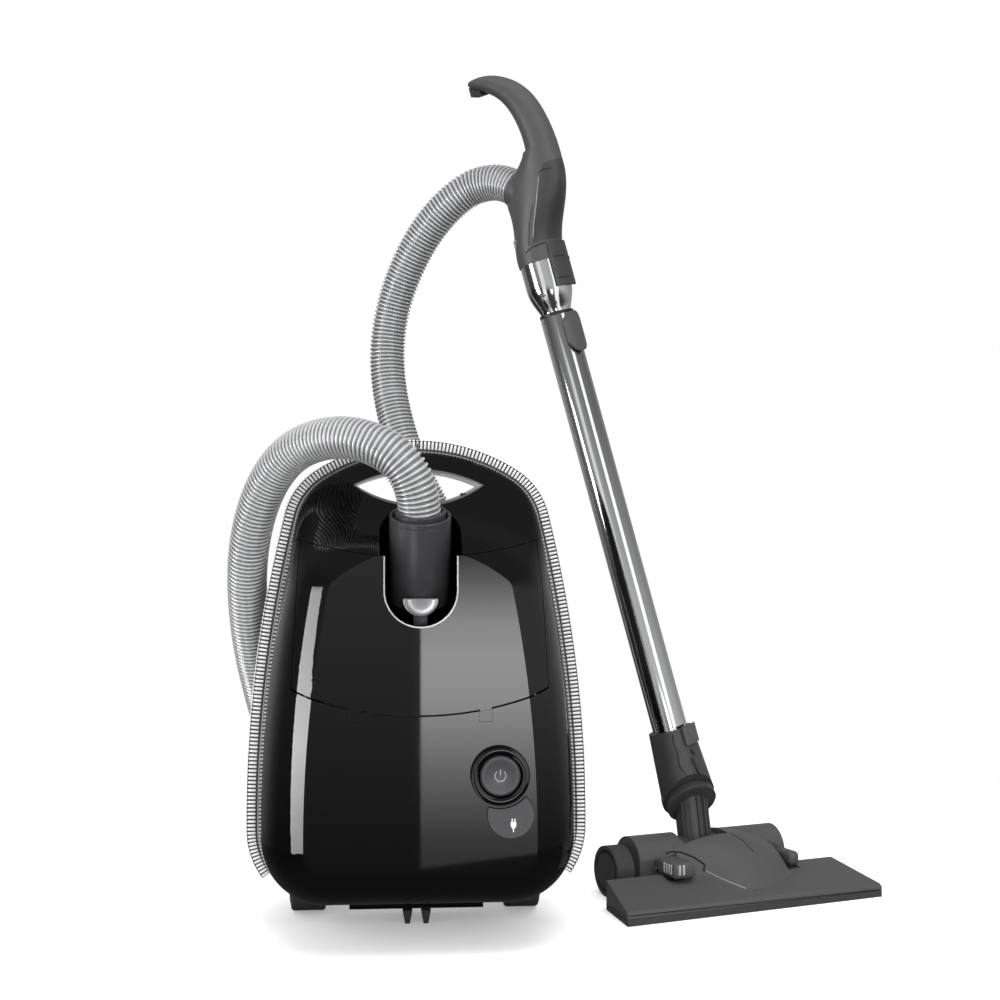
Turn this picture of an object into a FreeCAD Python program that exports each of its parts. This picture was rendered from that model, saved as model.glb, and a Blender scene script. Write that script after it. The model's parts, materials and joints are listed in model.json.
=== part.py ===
import FreeCAD, Part
import math
import os

# A cylinder vacuum cleaner standing on its rear end, with its ribbed hose, curved handle,
# telescopic steel wand and floor head. Millimetres, +Z up, the lid faces -Y.
# Each group is modelled in the cleaner's own frame: x = 0 on its middle plane, y = 0 on the
# plane of the bumper belt, z = 0 on the floor. SET_CENTRE is then moved to the origin.

V = FreeCAD.Vector
SET_CENTRE = V(152.4, 35.7, 0)

# Body of the cleaner
HALF_WIDTH = 155.0
BODY_HEIGHT = 445.0
WIDEST_Z = 100.0
UNDERSIDE_Z = 17.0
HEEL_Z = 12.0
HEEL_HALF = HALF_WIDTH - 93.0
SIDE_RADIUS = 1143.0
TOP_RADIUS = HALF_WIDTH + 15.0
CORNER_RADIUS = 66.0
FOOT_RADIUS = 75.0
WALL = 3.0
SEAM = 0.6
FIT = 0.3
BELT_HALF = 13.0
BELT_DEPTH = 11.0
BELT_ROUND = 4.0
BELT_END_Z = 48.0
FILTER_END_Z = 60.0
FILTER_HALF, FILTER_THICK = 12.0, 8.7
RIM_HALF = 16.0
RIM_INNER = 15.0
FRONT_Y = -118.0
BACK_Y = 92.0
# Sections of the shells: y, inset from the belt's outline, height of the outline
FRONT_SECTIONS = [
    (-RIM_HALF - FIT, 12.0, BODY_HEIGHT),
    (-40.0, 14.0, BODY_HEIGHT - 11.0),
    (-62.0, 18.0, BODY_HEIGHT - 36.0),
    (-84.0, 25.0, BODY_HEIGHT - 46.0),
    (-104.0, 38.0, BODY_HEIGHT - 47.0),
    (FRONT_Y, 56.0, BODY_HEIGHT - 41.0),
]
BACK_SECTIONS = [
    (RIM_HALF + FIT, 12.0, BODY_HEIGHT),
    (50.0, 18.0, BODY_HEIGHT - 9.0),
    (78.0, 30.0, BODY_HEIGHT - 33.0),
    (BACK_Y, 46.0, BODY_HEIGHT - 55.0),
]

# Lid and its seams
LID_HALF = HALF_WIDTH - 45.0
LID_TOP_HALF = HALF_WIDTH - 51.0
LID_LOW_MID_Z = 207.0
LID_LOW_SIDE_Z = 229.0
LID_TOP_MID_Z = BODY_HEIGHT - 104.0
LID_TOP_SIDE_Z = LID_TOP_MID_Z + 13.0
LID_SEAM = 1.6
HINGE_Y = FRONT_Y + 2.0
HINGE_Z = LID_LOW_MID_Z - 2.5
HINGE_PIN_R = 1.0
HINGE_BARREL_R = 2.0
HINGE_X = 55.0
HINGE_BARREL = 10.0

# Hose connector in the lid
MOUTH = V(0, -100, LID_TOP_MID_Z + 36.0)
MOUTH_TILT = 20.0
CONNECTOR_R = 26.5
CONNECTOR_LENGTH = 79.0
POCKET_R = 30.5
POCKET_WALL = 2.5
TRIM_WIDTH, TRIM_PROUD = 1.2, 0.6
POCKET_FLOOR_Z = MOUTH.z - 95.0
GROOVE_R = 35.0
GROOVE_TOP_Z = MOUTH.z + 11.0
PORT_R = 25.0
PORT_BORE_R = 18.0
PORT_LENGTH = 35.0
SPIGOT_LENGTH = 18.0
RELEASE_TRAVEL = 2.5
RELEASE_R = 15.5
RELEASE_Y = (-106.0, -101.7)

# Carrying handle: a lens-shaped hole right through the body
GRIP_HALF = HALF_WIDTH - 99.0
GRIP_SIDE_Z = BODY_HEIGHT - 42.0
GRIP_TOP_Z = GRIP_SIDE_Z + 12.0
GRIP_LOW_Z = GRIP_SIDE_Z - 17.0
GRIP_LINER = 2.2
LATCH_TRAVEL = 6.0
LATCH_X, LATCH_WIDTH = 38.0, 12.0

# Controls on the front cover
DIAL_X, DIAL_Z = HALF_WIDTH - 88.0, 156.0
DIAL_R = 25.2
BUTTON_R = 17.8
DIAL_PROUD = 7.0
REWIND_X, REWIND_Z, REWIND_R = DIAL_X + 9.0, DIAL_Z - 33.5, 19.7
REWIND_NOTCH_R = 28.5
BOARD_DEPTH = 22.0
BOARD_SPAN = (-56.0, 16.0)
POST_R = 3.0
# Posts of the control board, from the dial's centre, clear of the dial and the rewind button
BOARD_POSTS = [(-50.0, -24.0), (-50.0, 24.0), (10.0, 25.5), (-20.0, -42.0)]

# Wheels
WHEEL_R = 46.0
WHEEL_Y, WHEEL_Z = 72.0, 46.0
WHEEL_IN, WHEEL_OUT = HALF_WIDTH - 71.0, HALF_WIDTH - 37.0
TYRE = 7.0
AXLE_R = 5.0
WELL_GAP = 3.5
CASTER_Z = 300.0
CASTER_R = 15.0
CASTER_TRAIL = 12.0
CASTER_WELL_R = 32.0
OUTLET_X, OUTLET_Z = -45.0, 76.0
OUTLET_BORE_R = 4.5
RUN = 0.05

# Dust chamber, bag holder and bag
CHAMBER_HALF = HALF_WIDTH - 56.0
CHAMBER_FRONT, CHAMBER_REAR = -112.0, 64.0
CHAMBER_FLOOR_Z, CHAMBER_ROOF_Z = 188.0, BODY_HEIGHT - 73.0
CHAMBER_WALL = 2.5
HOLDER_THICK = 3.0
HOLDER_SPAN = (-30.0, 32.0)
BAG_GAP = 0.5
BAG_HALF = CHAMBER_HALF - 15.0

# Motor, its filter and the cable reel
MOTOR_X, MOTOR_Y = -40.0, -12.0
MOTOR_R, MOTOR_WALL = 48.0, 2.5
MOTOR_Z = (42.0, 168.0)
SHAFT_R = 4.0
BEARING_R = 11.9
FAN_R = 42.0
FAN_BLADES = 8
MOUNT_R, MOUNT_BORE_R = 20.0, 13.0
FRAME_HALF_X, FRAME_HALF_Y = 58.0, 56.0
FRAME_LIP = 6.0
FRAME_LOW_Z = CHAMBER_FLOOR_Z - 14.0
REEL_X, REEL_Y, REEL_Z = 52.0, -6.0, 92.0
REEL_R, REEL_CORE_R, REEL_SHAFT_R = 56.0, 22.0, 6.0
REEL_SPAN = (-36.0, 32.0)
SPRING_CASE_R = 38.0
BRACKET_HALF, BRACKET_RISE = 21.0, 30.0

# Standing ribs under the rear end
RIB_X = 8.5
RIB_WIDTH = 9.0
RIB_FRONT, RIB_LENGTH = 8.0, 40.0

# Hose
HOSE_R = 18.5
HOSE_BORE_R = 15.5
RIB_DEPTH = 1.3

# Hose route between the connector's mouth and the handle's socket, in the cleaner's frame
HOSE_FRONT = [
    (-5, -108, 404), (-18, -110, 424), (-38, -104, 437), (-63, -89, 444), (-90, -67, 442), (-114, -45, 431),
    (-133, -24, 409), (-147, -4, 378), (-156, 20, 338), (-158, 49, 293), (-155, 81, 247), (-147, 112, 200),
    (-134, 141, 145), (-112, 163, 90), (-72, 180, 47),
]
HOSE_BACK = [
    (-8, 191, 26), (40, 199, 29), (90, 206, 52), (126, 211, 98), (139, 214, 151), (130, 215, 207),
    (103, 215, 260), (70, 213, 311), (35, 217, 361), (7, 223, 410), (-12, 233, 459), (-23, 245, 506),
    (-26, 251, 553), (-19, 248, 600), (-3, 236, 643), (18, 221, 679), (44, 206, 706), (69, 197, 721),
]
# The hose is parted half-way between two points of its route
HOSE_SPLIT = (V(*HOSE_FRONT[-1]) + V(*HOSE_BACK[0])) * 0.5
HOSE_INSERT = 20.0
HOSE_EXIT = 3.0
CUFF_INSERT = 14.0
CUFF_EXIT = 16.0
RIB_PITCH = 9.6

# Floor head, in its own frame: x along the head, y = 0 at its front edge
HEAD_AT = V(319.7, 26.2, 0)
HEAD_TURN = 20.0
SOLE_LEFT, SOLE_RIGHT = 136.0, 149.0
SOLE_DEPTH = 66.0
SOLE_FLAT = 6.5
WING_TAPER = 13.0
WING_FRONT = 12.8
WING_REAR = 28.0
HEAD_WALL = 2.5
HOUSING_HALF = 76.0
HOUSING_FRONT, HOUSING_REAR = 84.0, 134.0
HOUSING_SIDE, HOUSING_TOP = 38.0, 58.0
NOSE_RIGHT = 92.0
# Sections of the nose: y, its left and right sides, their height and the crown's height
NOSE_SECTIONS = [
    (17.0, 4.0, 28.0, 14.5, 17.2),
    (24.0, -4.0, 49.0, 16.0, 22.0),
    (35.0, -12.0, 66.0, 19.0, 30.0),
    (51.0, -20.0, 82.0, 23.0, 41.0),
    (66.0, -34.0, 90.0, 28.0, 50.0),
    (90.0, -60.0, 94.0, 38.0, 58.5),
    (128.0, -62.0, 93.0, 38.0, 56.0),
]
HEAD_AXLE_Y, HEAD_AXLE_Z = 112.0, 25.0
HEAD_WHEEL_R = 25.0
HEAD_WHEEL_IN, HEAD_WHEEL_OUT = 80.0, 99.0
RIGHT_WHEEL_IN, RIGHT_WHEEL_OUT = 64.0, 90.0
HEAD_AXLE_R = 3.0
PEDAL_FRONT, PEDAL_REAR = 40.0, 80.0
PEDAL_LEFT, PEDAL_RIGHT = (-62.0, -38.0), (70.0, 86.0)
PEDAL_SEAT_Z = 24.0
PEDAL_GAP = 1.0
PEDAL_PIN_R = 2.0
PEDAL_PIN_Z = 32.0
PEDAL_PIN_BACK = 6.0
BRUSH_Y = (25.0, 52.0)
BRUSH_HALF = 112.0
NECK_PIVOT_Y, NECK_PIVOT_Z = 108.0, 40.0
NECK_TOP = V(0, 119, 90)
NECK_R = 15.5
NECK_SLOT = 25.0
NECK_FINS = 5
NECK_BORE = 10.5
NECK_PIN_R = 3.0
SWIVEL_LEAN = 50.0
JOINT_R = 28.0
JOINT_GAP = 0.3

# Wand, in its own frame: z along the wand from the swivel's centre
WAND_TOP = V(148, 160, 577)
VIEW_TURN = 6.0
HANDLE_TURN = 48.0
SOCKET_R = 22.3
SOCKET_Z = 71.0
INSERT_Z = 33.0
LOWER_R = 17.6
LOWER_WALL = 0.9
LOWER_TOP = 507.0
BUTTON_Z = 486.0
BUTTON_WIDTH, BUTTON_LENGTH = 24.0, 42.0
UPPER_R = 15.6
UPPER_WALL = 0.8
TELESCOPE_TRAVEL = 350.0
UPPER_DEPTH = TELESCOPE_TRAVEL + 27.0
SWAGE_Z = 512.0
GRIP_TUBE_R = 23.4
GRIP_TUBE_TOP = 592.0
CLIP_Z = (533.0, 579.0)
CLIP_PIVOT_X, CLIP_PIVOT_Z = GRIP_TUBE_R + 1.1, 561.0
CLIP_PIN_R = 1.4
CLIP_HALF = 13.0
# Sections of the handle's body: z, middle, half its depth, half its width
BODY_RINGS = [
    (563.0, 0.0, 24.6, 24.6),
    (581.0, 1.3, 24.8, 24.6),
    (600.0, 7.4, 27.2, 24.4),
    (620.0, 14.0, 33.6, 23.5),
    (636.0, 17.5, 37.5, 22.0),
    (655.0, 27.0, 30.0, 20.0),
    (672.0, 37.0, 19.0, 18.0),
]
# Sections of its grip: middle x and z, direction x and z, half the depth, half the width
GRIP_RINGS = [
    (36.0, 650.0, 0.0, 1.0, 19.0, 18.0),
    (39.0, 680.0, 0.0, 1.0, 16.5, 16.5),
    (35.0, 706.0, -0.3, 0.95, 15.0, 16.0),
    (25.5, 729.0, -0.55, 0.83, 13.5, 15.5),
    (9.5, 747.0, -0.8, 0.6, 11.0, 15.0),
    (-8.0, 758.0, -0.92, 0.38, 8.5, 14.0),
    (-24.0, 763.5, -0.97, 0.22, 5.0, 11.5),
]
SOCKET_MOUTH = (-5.2, 0.0, 644.7)
SOCKET_OUT = (-0.69, 0.0, 0.724)
HOSE_SOCKET_R = 20.2
CUFF_R = 19.3
SHELL_SEAM = [(12, 581.6), (46, 652), (60, 656), (90, 656), (90, 581.6)]
SEAM_HALF = 40.0
TIP_INSERT = [(-29, 762), (-29, 752), (-15, 750), (-15, 757)]


def box(x0, x1, y0, y1, z0, z1):
    return Part.makeBox(x1 - x0, y1 - y0, z1 - z0, V(x0, y0, z0))


def rod(radius, start, end):
    return Part.makeCylinder(radius, (end - start).Length, start, end - start)


def cone(r0, r1, start, end):
    return Part.makeCone(r0, r1, (end - start).Length, start, end - start)


def tube(outer, inner, start, end):
    return rod(outer, start, end).cut(rod(inner, start, end))


def union(shapes):
    shapes = list(shapes)
    return shapes[0].multiFuse(shapes[1:]).removeSplitter() if len(shapes) > 1 else shapes[0]


def line(a, b):
    return Part.makeLine(a, b)


def arc(a, b, c):
    return Part.Arc(a, b, c).toShape()


def prism(edges, direction):
    return Part.Face(Part.Wire(edges)).extrude(direction)


def polygon(points, direction):
    return Part.Face(Part.makePolygon(points + [points[0]])).extrude(direction)


def outline(inset, y, height=BODY_HEIGHT):
    """The body's outline in the plane at y, drawn in by inset: one line and seven tangent arcs."""
    side = V(HALF_WIDTH - SIDE_RADIUS, 0, WIDEST_Z)
    top = V(0, 0, height - TOP_RADIUS)
    foot_z = UNDERSIDE_Z + FOOT_RADIUS
    reach = SIDE_RADIUS - FOOT_RADIUS
    foot = V(side.x + math.sqrt(reach**2 - (foot_z - WIDEST_Z) ** 2), 0, foot_z)
    near, far = TOP_RADIUS - CORNER_RADIUS, SIDE_RADIUS - CORNER_RADIUS
    gap = top - side
    along = (gap.Length**2 + far**2 - near**2) / (2 * gap.Length)
    off = math.sqrt(far**2 - along**2)
    unit = gap.normalize()
    corner = side + unit * along + V(-unit.z, 0, unit.x) * off

    def at(centre, radius, angle):
        return V(centre.x + radius * math.cos(angle), y, centre.z + radius * math.sin(angle))

    def sweep(centre, radius, a0, a1):
        return arc(at(centre, radius, a0), at(centre, radius, (a0 + a1) / 2), at(centre, radius, a1))

    def bearing(a, b):
        return math.atan2(b.z - a.z, b.x - a.x)

    low, high, crown = bearing(side, foot), bearing(side, corner), bearing(top, corner)
    right = [
        sweep(foot, FOOT_RADIUS - inset, -math.pi / 2, low),
        sweep(side, SIDE_RADIUS - inset, low, high),
        sweep(corner, CORNER_RADIUS - inset, high, crown),
    ]
    left = [
        sweep(V(-corner.x, 0, corner.z), CORNER_RADIUS - inset, math.pi - crown, math.pi - high),
        sweep(V(-side.x, 0, side.z), SIDE_RADIUS - inset, math.pi - high, math.pi - low),
        sweep(V(-foot.x, 0, foot.z), FOOT_RADIUS - inset, math.pi - low, 1.5 * math.pi),
    ]
    crest = sweep(top, TOP_RADIUS - inset, crown, math.pi - crown)
    floor_z = UNDERSIDE_Z + inset
    base = line(V(-foot.x, y, floor_z), V(foot.x, y, floor_z))
    return Part.Wire([base] + right + [crest] + left)


def slab(inset, y0, y1):
    """The body's outline, drawn in by inset, from y0 to y1."""
    return Part.Face(outline(inset, y0)).extrude(V(0, y1 - y0, 0))


def dome(sections, wall=0.0):
    """Half of the body as a solid; wall draws it in for the cavity, a negative one swells it."""
    inward = 1 if sections[-1][0] < 0 else -1
    wires = []
    for number, (y, inset, height) in enumerate(sections):
        if wall and number == 0:
            y += 2 * WALL * inward
        if number == len(sections) - 1:
            y += wall * inward
        wires.append(outline(inset + wall, y, height))
    return Part.makeLoft(wires, True, False)


def seam_arc(half, side_z, mid_z, y):
    return arc(V(-half, y, side_z), V(0, y, mid_z), V(half, y, side_z))


def lid_prism(grow, low_grow):
    """What the lid covers, seen from the front, grown or drawn in by grow, and by low_grow below."""
    y = FRONT_Y - 20
    half, top_half = LID_HALF + grow, LID_TOP_HALF + grow
    low = seam_arc(half, LID_LOW_SIDE_Z - low_grow, LID_LOW_MID_Z - low_grow, y)
    high = seam_arc(top_half, LID_TOP_SIDE_Z + grow, LID_TOP_MID_Z + grow, y)
    right = line(V(half, y, LID_LOW_SIDE_Z - low_grow), V(top_half, y, LID_TOP_SIDE_Z + grow))
    left = line(V(-top_half, y, LID_TOP_SIDE_Z + grow), V(-half, y, LID_LOW_SIDE_Z - low_grow))
    return prism([low, right, high, left], V(0, -y - RIM_HALF, 0))


def top_prism(grow):
    """What lies above the lid's upper seam, over the whole width."""
    y = FRONT_Y - 20
    half, side = LID_TOP_HALF, HALF_WIDTH + 20
    z0, z1 = LID_TOP_SIDE_Z - grow, BODY_HEIGHT + 20
    edges = [
        seam_arc(half, z0, LID_TOP_MID_Z - grow, y),
        line(V(half, y, z0), V(side, y, z0)),
        line(V(side, y, z0), V(side, y, z1)),
        line(V(side, y, z1), V(-side, y, z1)),
        line(V(-side, y, z1), V(-side, y, z0)),
        line(V(-side, y, z0), V(-half, y, z0)),
    ]
    return prism(edges, V(0, -y - RIM_HALF, 0))


def lens(grow, y0, y1):
    """The handle hole's outline, grown by grow."""
    left, right = V(-GRIP_HALF - grow, y0, GRIP_SIDE_Z), V(GRIP_HALF + grow, y0, GRIP_SIDE_Z)
    edges = [
        arc(left, V(0, y0, GRIP_TOP_Z + grow), right),
        arc(right, V(0, y0, GRIP_LOW_Z - grow), left),
    ]
    return prism(edges, V(0, y1 - y0, 0))


def connector_axis(distance):
    """A point on the hose connector's axis, measured from its mouth; positive is outwards."""
    tilt = math.radians(MOUTH_TILT)
    return MOUTH + V(0, -math.sin(tilt), math.cos(tilt)) * distance


def channel(radius, floor_z=None, top_z=None):
    """The tilted channel that the connector lies in, open to the front."""
    low, high = connector_axis(-CONNECTOR_LENGTH - 17), connector_axis(30)
    tilt = math.radians(MOUTH_TILT)
    forward = V(0, -math.cos(tilt), -math.sin(tilt)) * 90
    across = V(radius, 0, 0)
    corners = [low - across, high - across, high - across + forward, low - across + forward]
    front = polygon(corners, across * 2)
    shape = rod(radius, low, high).fuse(front)
    y0, y1 = -220, 0
    if floor_z is not None:
        z = floor_z + radius
        mouth_z = BODY_HEIGHT + 20
        edges = [
            arc(V(-radius, y0, z), V(0, y0, floor_z), V(radius, y0, z)),
            line(V(radius, y0, z), V(radius, y0, mouth_z)),
            line(V(radius, y0, mouth_z), V(-radius, y0, mouth_z)),
            line(V(-radius, y0, mouth_z), V(-radius, y0, z)),
        ]
        shape = shape.common(prism(edges, V(0, y1 - y0, 0)))
    if top_z is not None:
        shape = shape.common(box(-radius, radius, y0, y1, 0, top_z))
    return shape


def lined(shell, solid, hole, liner, region):
    """Cuts hole from a shell and closes its sides with what liner holds around the hole."""
    wall = liner.cut(hole).common(solid).common(region)
    return shell.cut(hole).fuse(wall).removeSplitter()


NODES = {}


def add(name, *solids):
    """Keeps one named piece, or one group of like pieces, in the cleaner's frame."""
    found = [solid for shape in solids for solid in shape.Solids]
    NODES[name] = found[0] if len(found) == 1 else Part.makeCompound(found)


def hinge_barrels(first, last, radius):
    pieces = []
    for x in (-HINGE_X, HINGE_X):
        pieces.append(rod(radius, V(x + first, HINGE_Y, HINGE_Z), V(x + last, HINGE_Y, HINGE_Z)))
    return pieces


def underside(y):
    """How high a foot stands on the belt's rim, or just clear of the front cover's floor at y."""
    (y0, inset0, _), (y1, inset1, _) = FRONT_SECTIONS[:2]
    y0 += 2 * WALL
    inset = inset0 + (inset1 - inset0) * (y0 - y) / (y0 - y1)
    return UNDERSIDE_Z + max(WALL + inset, RIM_INNER)


def rewind_outline(grow, y0, y1):
    disc = rod(REWIND_R + grow, V(REWIND_X, y0, REWIND_Z), V(REWIND_X, y1, REWIND_Z))
    notch = rod(REWIND_NOTCH_R - grow, V(DIAL_X, y0 - 1, DIAL_Z), V(DIAL_X, y1 + 1, DIAL_Z))
    return disc.cut(notch)


def make_body():
    front = dome(FRONT_SECTIONS)
    cavity = dome(FRONT_SECTIONS, WALL)
    shell = front.cut(cavity)
    middle = slab(12.0, -RIM_HALF - FIT, RIM_HALF + FIT)
    back = dome(BACK_SECTIONS)
    back_cavity = dome(BACK_SECTIONS, WALL)
    body = union([front, middle, back])

    # Lid with its connector pocket and port
    pocket = channel(POCKET_R, POCKET_FLOOR_Z)
    pocket_out = channel(POCKET_R + POCKET_WALL, POCKET_FLOOR_Z - POCKET_WALL)
    region = lid_prism(-SEAM / 2, -SEAM / 2)
    lid = lined(shell.common(region), front, pocket, pocket_out, region)
    port_low = connector_axis(-CONNECTOR_LENGTH - PORT_LENGTH)
    port_high = connector_axis(-CONNECTOR_LENGTH)
    lid = lid.fuse(rod(PORT_R, port_low, port_high)).cut(rod(PORT_BORE_R, port_low, port_high))
    web = 1.2
    for barrel in hinge_barrels(-HINGE_BARREL / 2, HINGE_BARREL / 2, HINGE_BARREL_R):
        x = barrel.BoundBox.XMin
        arm = box(x, x + HINGE_BARREL, HINGE_Y - web, HINGE_Y + web, HINGE_Z, LID_LOW_SIDE_Z)
        lid = lid.fuse(barrel.fuse(arm))
    pin_holes = Part.makeCompound(hinge_barrels(-20, 20, HINGE_PIN_R + RUN))
    lid = lid.cut(pin_holes)
    # The catch that the latch's foot stands in front of
    start = FRONT_Y - 2
    profile = [(start, -15), (-72, -15), (-72, -4), (-75, -4), (-75, -11), (start, -11)]
    catch = polygon([V(LATCH_X, y, LID_TOP_MID_Z + z) for y, z in profile], V(LATCH_WIDTH, 0, 0))
    lid = lid.fuse(catch.common(front)).removeSplitter()
    lid = lid.cut(box(-6.3, 6.3, -105.3, -100.7, POCKET_FLOOR_Z - 10, POCKET_FLOOR_Z + 3))
    add("lid", lid)
    seal_low = connector_axis(-CONNECTOR_LENGTH - PORT_LENGTH - 2)
    add("port_seal", tube(PORT_R - 1, PORT_BORE_R, seal_low, port_low))
    swollen = dome(FRONT_SECTIONS, -TRIM_PROUD)
    trim = channel(POCKET_R + TRIM_WIDTH, POCKET_FLOOR_Z - TRIM_WIDTH).cut(channel(POCKET_R, POCKET_FLOOR_Z))
    add("port_trim", trim.common(swollen.cut(front)).common(region))

    # Cover around the lid and below it
    cover = shell.cut(lid_prism(SEAM / 2, LID_SEAM - SEAM / 2)).cut(top_prism(SEAM / 2))
    for barrel in hinge_barrels(-HINGE_BARREL / 2 - 0.5, HINGE_BARREL / 2 + 0.5, 3.0):
        low = barrel.BoundBox
        cover = cover.cut(box(low.XMin, low.XMax, -140, FRONT_Y + 8, HINGE_Z - 3.2, LID_LOW_SIDE_Z))
    for side in (-1, 1):
        near = HINGE_BARREL / 2 + 0.5
        for knuckle in hinge_barrels(side * near, side * (near + HINGE_BARREL), HINGE_BARREL_R):
            cover = cover.fuse(knuckle)
    cover = cover.cut(pin_holes)
    # Seats of the dial and of the rewind button, and posts for the control board
    face = V(DIAL_X, FRONT_Y - 2, DIAL_Z)
    cover = cover.cut(rod(DIAL_R - 4.0, face, V(DIAL_X, FRONT_Y + 10, DIAL_Z)))
    cover = cover.cut(rewind_outline(0.5, FRONT_Y - 2, FRONT_Y + 10))
    for dx, dz in BOARD_POSTS:
        foot = V(DIAL_X + dx, FRONT_Y + 1, DIAL_Z + dz)
        cover = cover.fuse(rod(POST_R, foot, foot + V(0, BOARD_DEPTH - 1, 0)))
    add("front_cover", cover.removeSplitter())
    add("lid_hinge_pins", *hinge_barrels(-15, 15, HINGE_PIN_R))

    # Cover above the lid, with the handle hole and the groove behind the connector
    top = shell.common(top_prism(-SEAM / 2))
    top_region = top_prism(-SEAM / 2)
    groove = channel(GROOVE_R, None, GROOVE_TOP_Z)
    groove_out = channel(GROOVE_R + POCKET_WALL, None, GROOVE_TOP_Z)
    top = lined(top, front, groove, groove_out, top_region)
    hole = lens(GRIP_LINER + FIT, -200, 200)
    latch_end = LATCH_X + LATCH_WIDTH
    latch_slot = box(LATCH_X - 0.6, latch_end + 0.6, -35, -25, GRIP_LOW_Z - 6, GRIP_SIDE_Z + 3)
    top = top.cut(hole)
    add("top_cover", *[s for s in top.Solids if s.Volume > 500])
    liner = lens(GRIP_LINER, -200, 200).cut(lens(0, -200, 200)).common(body)
    add("handle_liner", liner.cut(latch_slot))
    foot_z, top_z = LID_TOP_MID_Z, GRIP_LOW_Z
    profile = [(-80, foot_z - 8), (-76.5, foot_z - 8), (-76.5, foot_z + 1.5), (-34, top_z - 10)]
    profile += [(-26, top_z - 10), (-26, top_z + 10), (-34, top_z + 10), (-34, top_z - 6), (-80, foot_z + 5)]
    latch = polygon([V(LATCH_X, y, z) for y, z in profile], V(LATCH_WIDTH, 0, 0))
    add("lid_latch", latch)

    # Rear shell with wheel wells, caster well, heel and cable outlet
    rear = back.cut(back_cavity)
    rear = rear.fuse(box(-HEEL_HALF, HEEL_HALF, RIM_HALF + FIT, 60, HEEL_Z, UNDERSIDE_Z + 16))
    for side in (-1, 1):
        inner = V(side * (WHEEL_IN - 5), WHEEL_Y, WHEEL_Z)
        outer = V(side * (HALF_WIDTH + 10), WHEEL_Y, WHEEL_Z)
        wall = V(side * POCKET_WALL, 0, 0)
        well = rod(WHEEL_R + WELL_GAP, inner, outer)
        well_out = rod(WHEEL_R + WELL_GAP + POCKET_WALL, inner - wall, outer)
        rear = lined(rear, back, well, well_out, box(-200, 200, RIM_HALF + FIT, 200, 0, 300))
        boss = rod(9.0, inner, V(side * (WHEEL_IN - FIT), WHEEL_Y, WHEEL_Z))
        rear = rear.fuse(boss).cut(rod(AXLE_R, inner - wall * 2, outer))
    well = rod(CASTER_WELL_R, V(0, 64, CASTER_Z), V(0, 110, CASTER_Z))
    well_out = rod(CASTER_WELL_R + POCKET_WALL, V(0, 60, CASTER_Z), V(0, 110, CASTER_Z))
    rear = lined(rear, back, well, well_out, box(-200, 200, 20, 200, 0, 445))
    rear = rear.cut(rod(8.0 + RUN, V(0, 50, CASTER_Z), V(0, 66, CASTER_Z)))
    outlet = V(OUTLET_X, BACK_Y, OUTLET_Z)
    rear = rear.cut(rod(8.0, outlet - V(0, 6, 0), outlet + V(0, 4, 0)))
    rear = rear.cut(hole)
    add("base_shell", *[s for s in rear.Solids if s.Volume > 500])
    grommet = tube(11.0, OUTLET_BORE_R, outlet + V(0, FIT, 0), outlet + V(0, 3, 0))
    grommet = grommet.fuse(tube(7.7, OUTLET_BORE_R, outlet - V(0, 5, 0), outlet + V(0, 1, 0)))
    add("cable_inlet", grommet)

    ribs = []
    for x in (-RIB_X, RIB_X):
        w, t = RIB_WIDTH / 2, RIB_WIDTH / 4
        corners = [(x - w, HEEL_Z), (x + w, HEEL_Z), (x + t, 0), (x - t, 0)]
        ribs.append(polygon([V(px, RIB_FRONT, pz) for px, pz in corners], V(0, RIB_LENGTH, 0)))
    add("parking_ribs", *ribs)

    # Bumper belt and the rim that carries it
    shoulder = BELT_HALF - BELT_ROUND
    layers = [(-BELT_HALF, BELT_ROUND), (-shoulder, 0.0), (shoulder, 0.0), (BELT_HALF, BELT_ROUND)]
    belt = Part.makeLoft([outline(inset, y) for y, inset in layers], True, True)
    belt = belt.cut(slab(BELT_DEPTH, -50, 50)).cut(box(-200, 200, -50, 50, 0, BELT_END_Z))
    add("bumper_belt", belt)
    rim = slab(BELT_DEPTH, -RIM_HALF, RIM_HALF).cut(slab(RIM_INNER, -RIM_HALF - 1, RIM_HALF + 1))
    add("belt_rim", rim)
    add("exhaust_filter", filter_ring(0.0))


def filter_ring(grow):
    """The exhaust filter inside the belt's rim, or the room it needs, grown by grow."""
    half, inset = FILTER_HALF + grow, RIM_INNER + FIT
    ring = slab(inset, -half, half).cut(slab(inset + FILTER_THICK + grow, -half - 1, half + 1))
    return ring.cut(box(-200, 200, -50, 50, 0, FILTER_END_Z - grow))


def make_connector():
    low, mouth = connector_axis(-CONNECTOR_LENGTH + FIT), connector_axis(0)
    body = cone(CONNECTOR_R - 1.0, CONNECTOR_R, low, mouth)
    ring = rod(CONNECTOR_R + 0.8, connector_axis(-9), connector_axis(-1))
    socket = rod(HOSE_R + 0.5, connector_axis(-HOSE_INSERT - 2), connector_axis(1))
    spigot = rod(PORT_BORE_R - RUN, connector_axis(-CONNECTOR_LENGTH - SPIGOT_LENGTH), low)
    body = body.fuse(ring).fuse(spigot).cut(socket)
    body = body.cut(rod(HOSE_BORE_R, connector_axis(-CONNECTOR_LENGTH - SPIGOT_LENGTH - 1), mouth))
    add("hose_connector", body)
    z = POCKET_FLOOR_Z + 23
    y0, y1 = RELEASE_Y
    release = rod(RELEASE_R, V(0, y0, z), V(0, y1, z)).cut(box(-20, 20, y0 - 1, y1 + 1, z, z + 20))
    release = release.fuse(box(-6, 6, y0 + 1, -101, POCKET_FLOOR_Z - 2 * RELEASE_TRAVEL, z - 10))
    add("hose_release", release)


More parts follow.
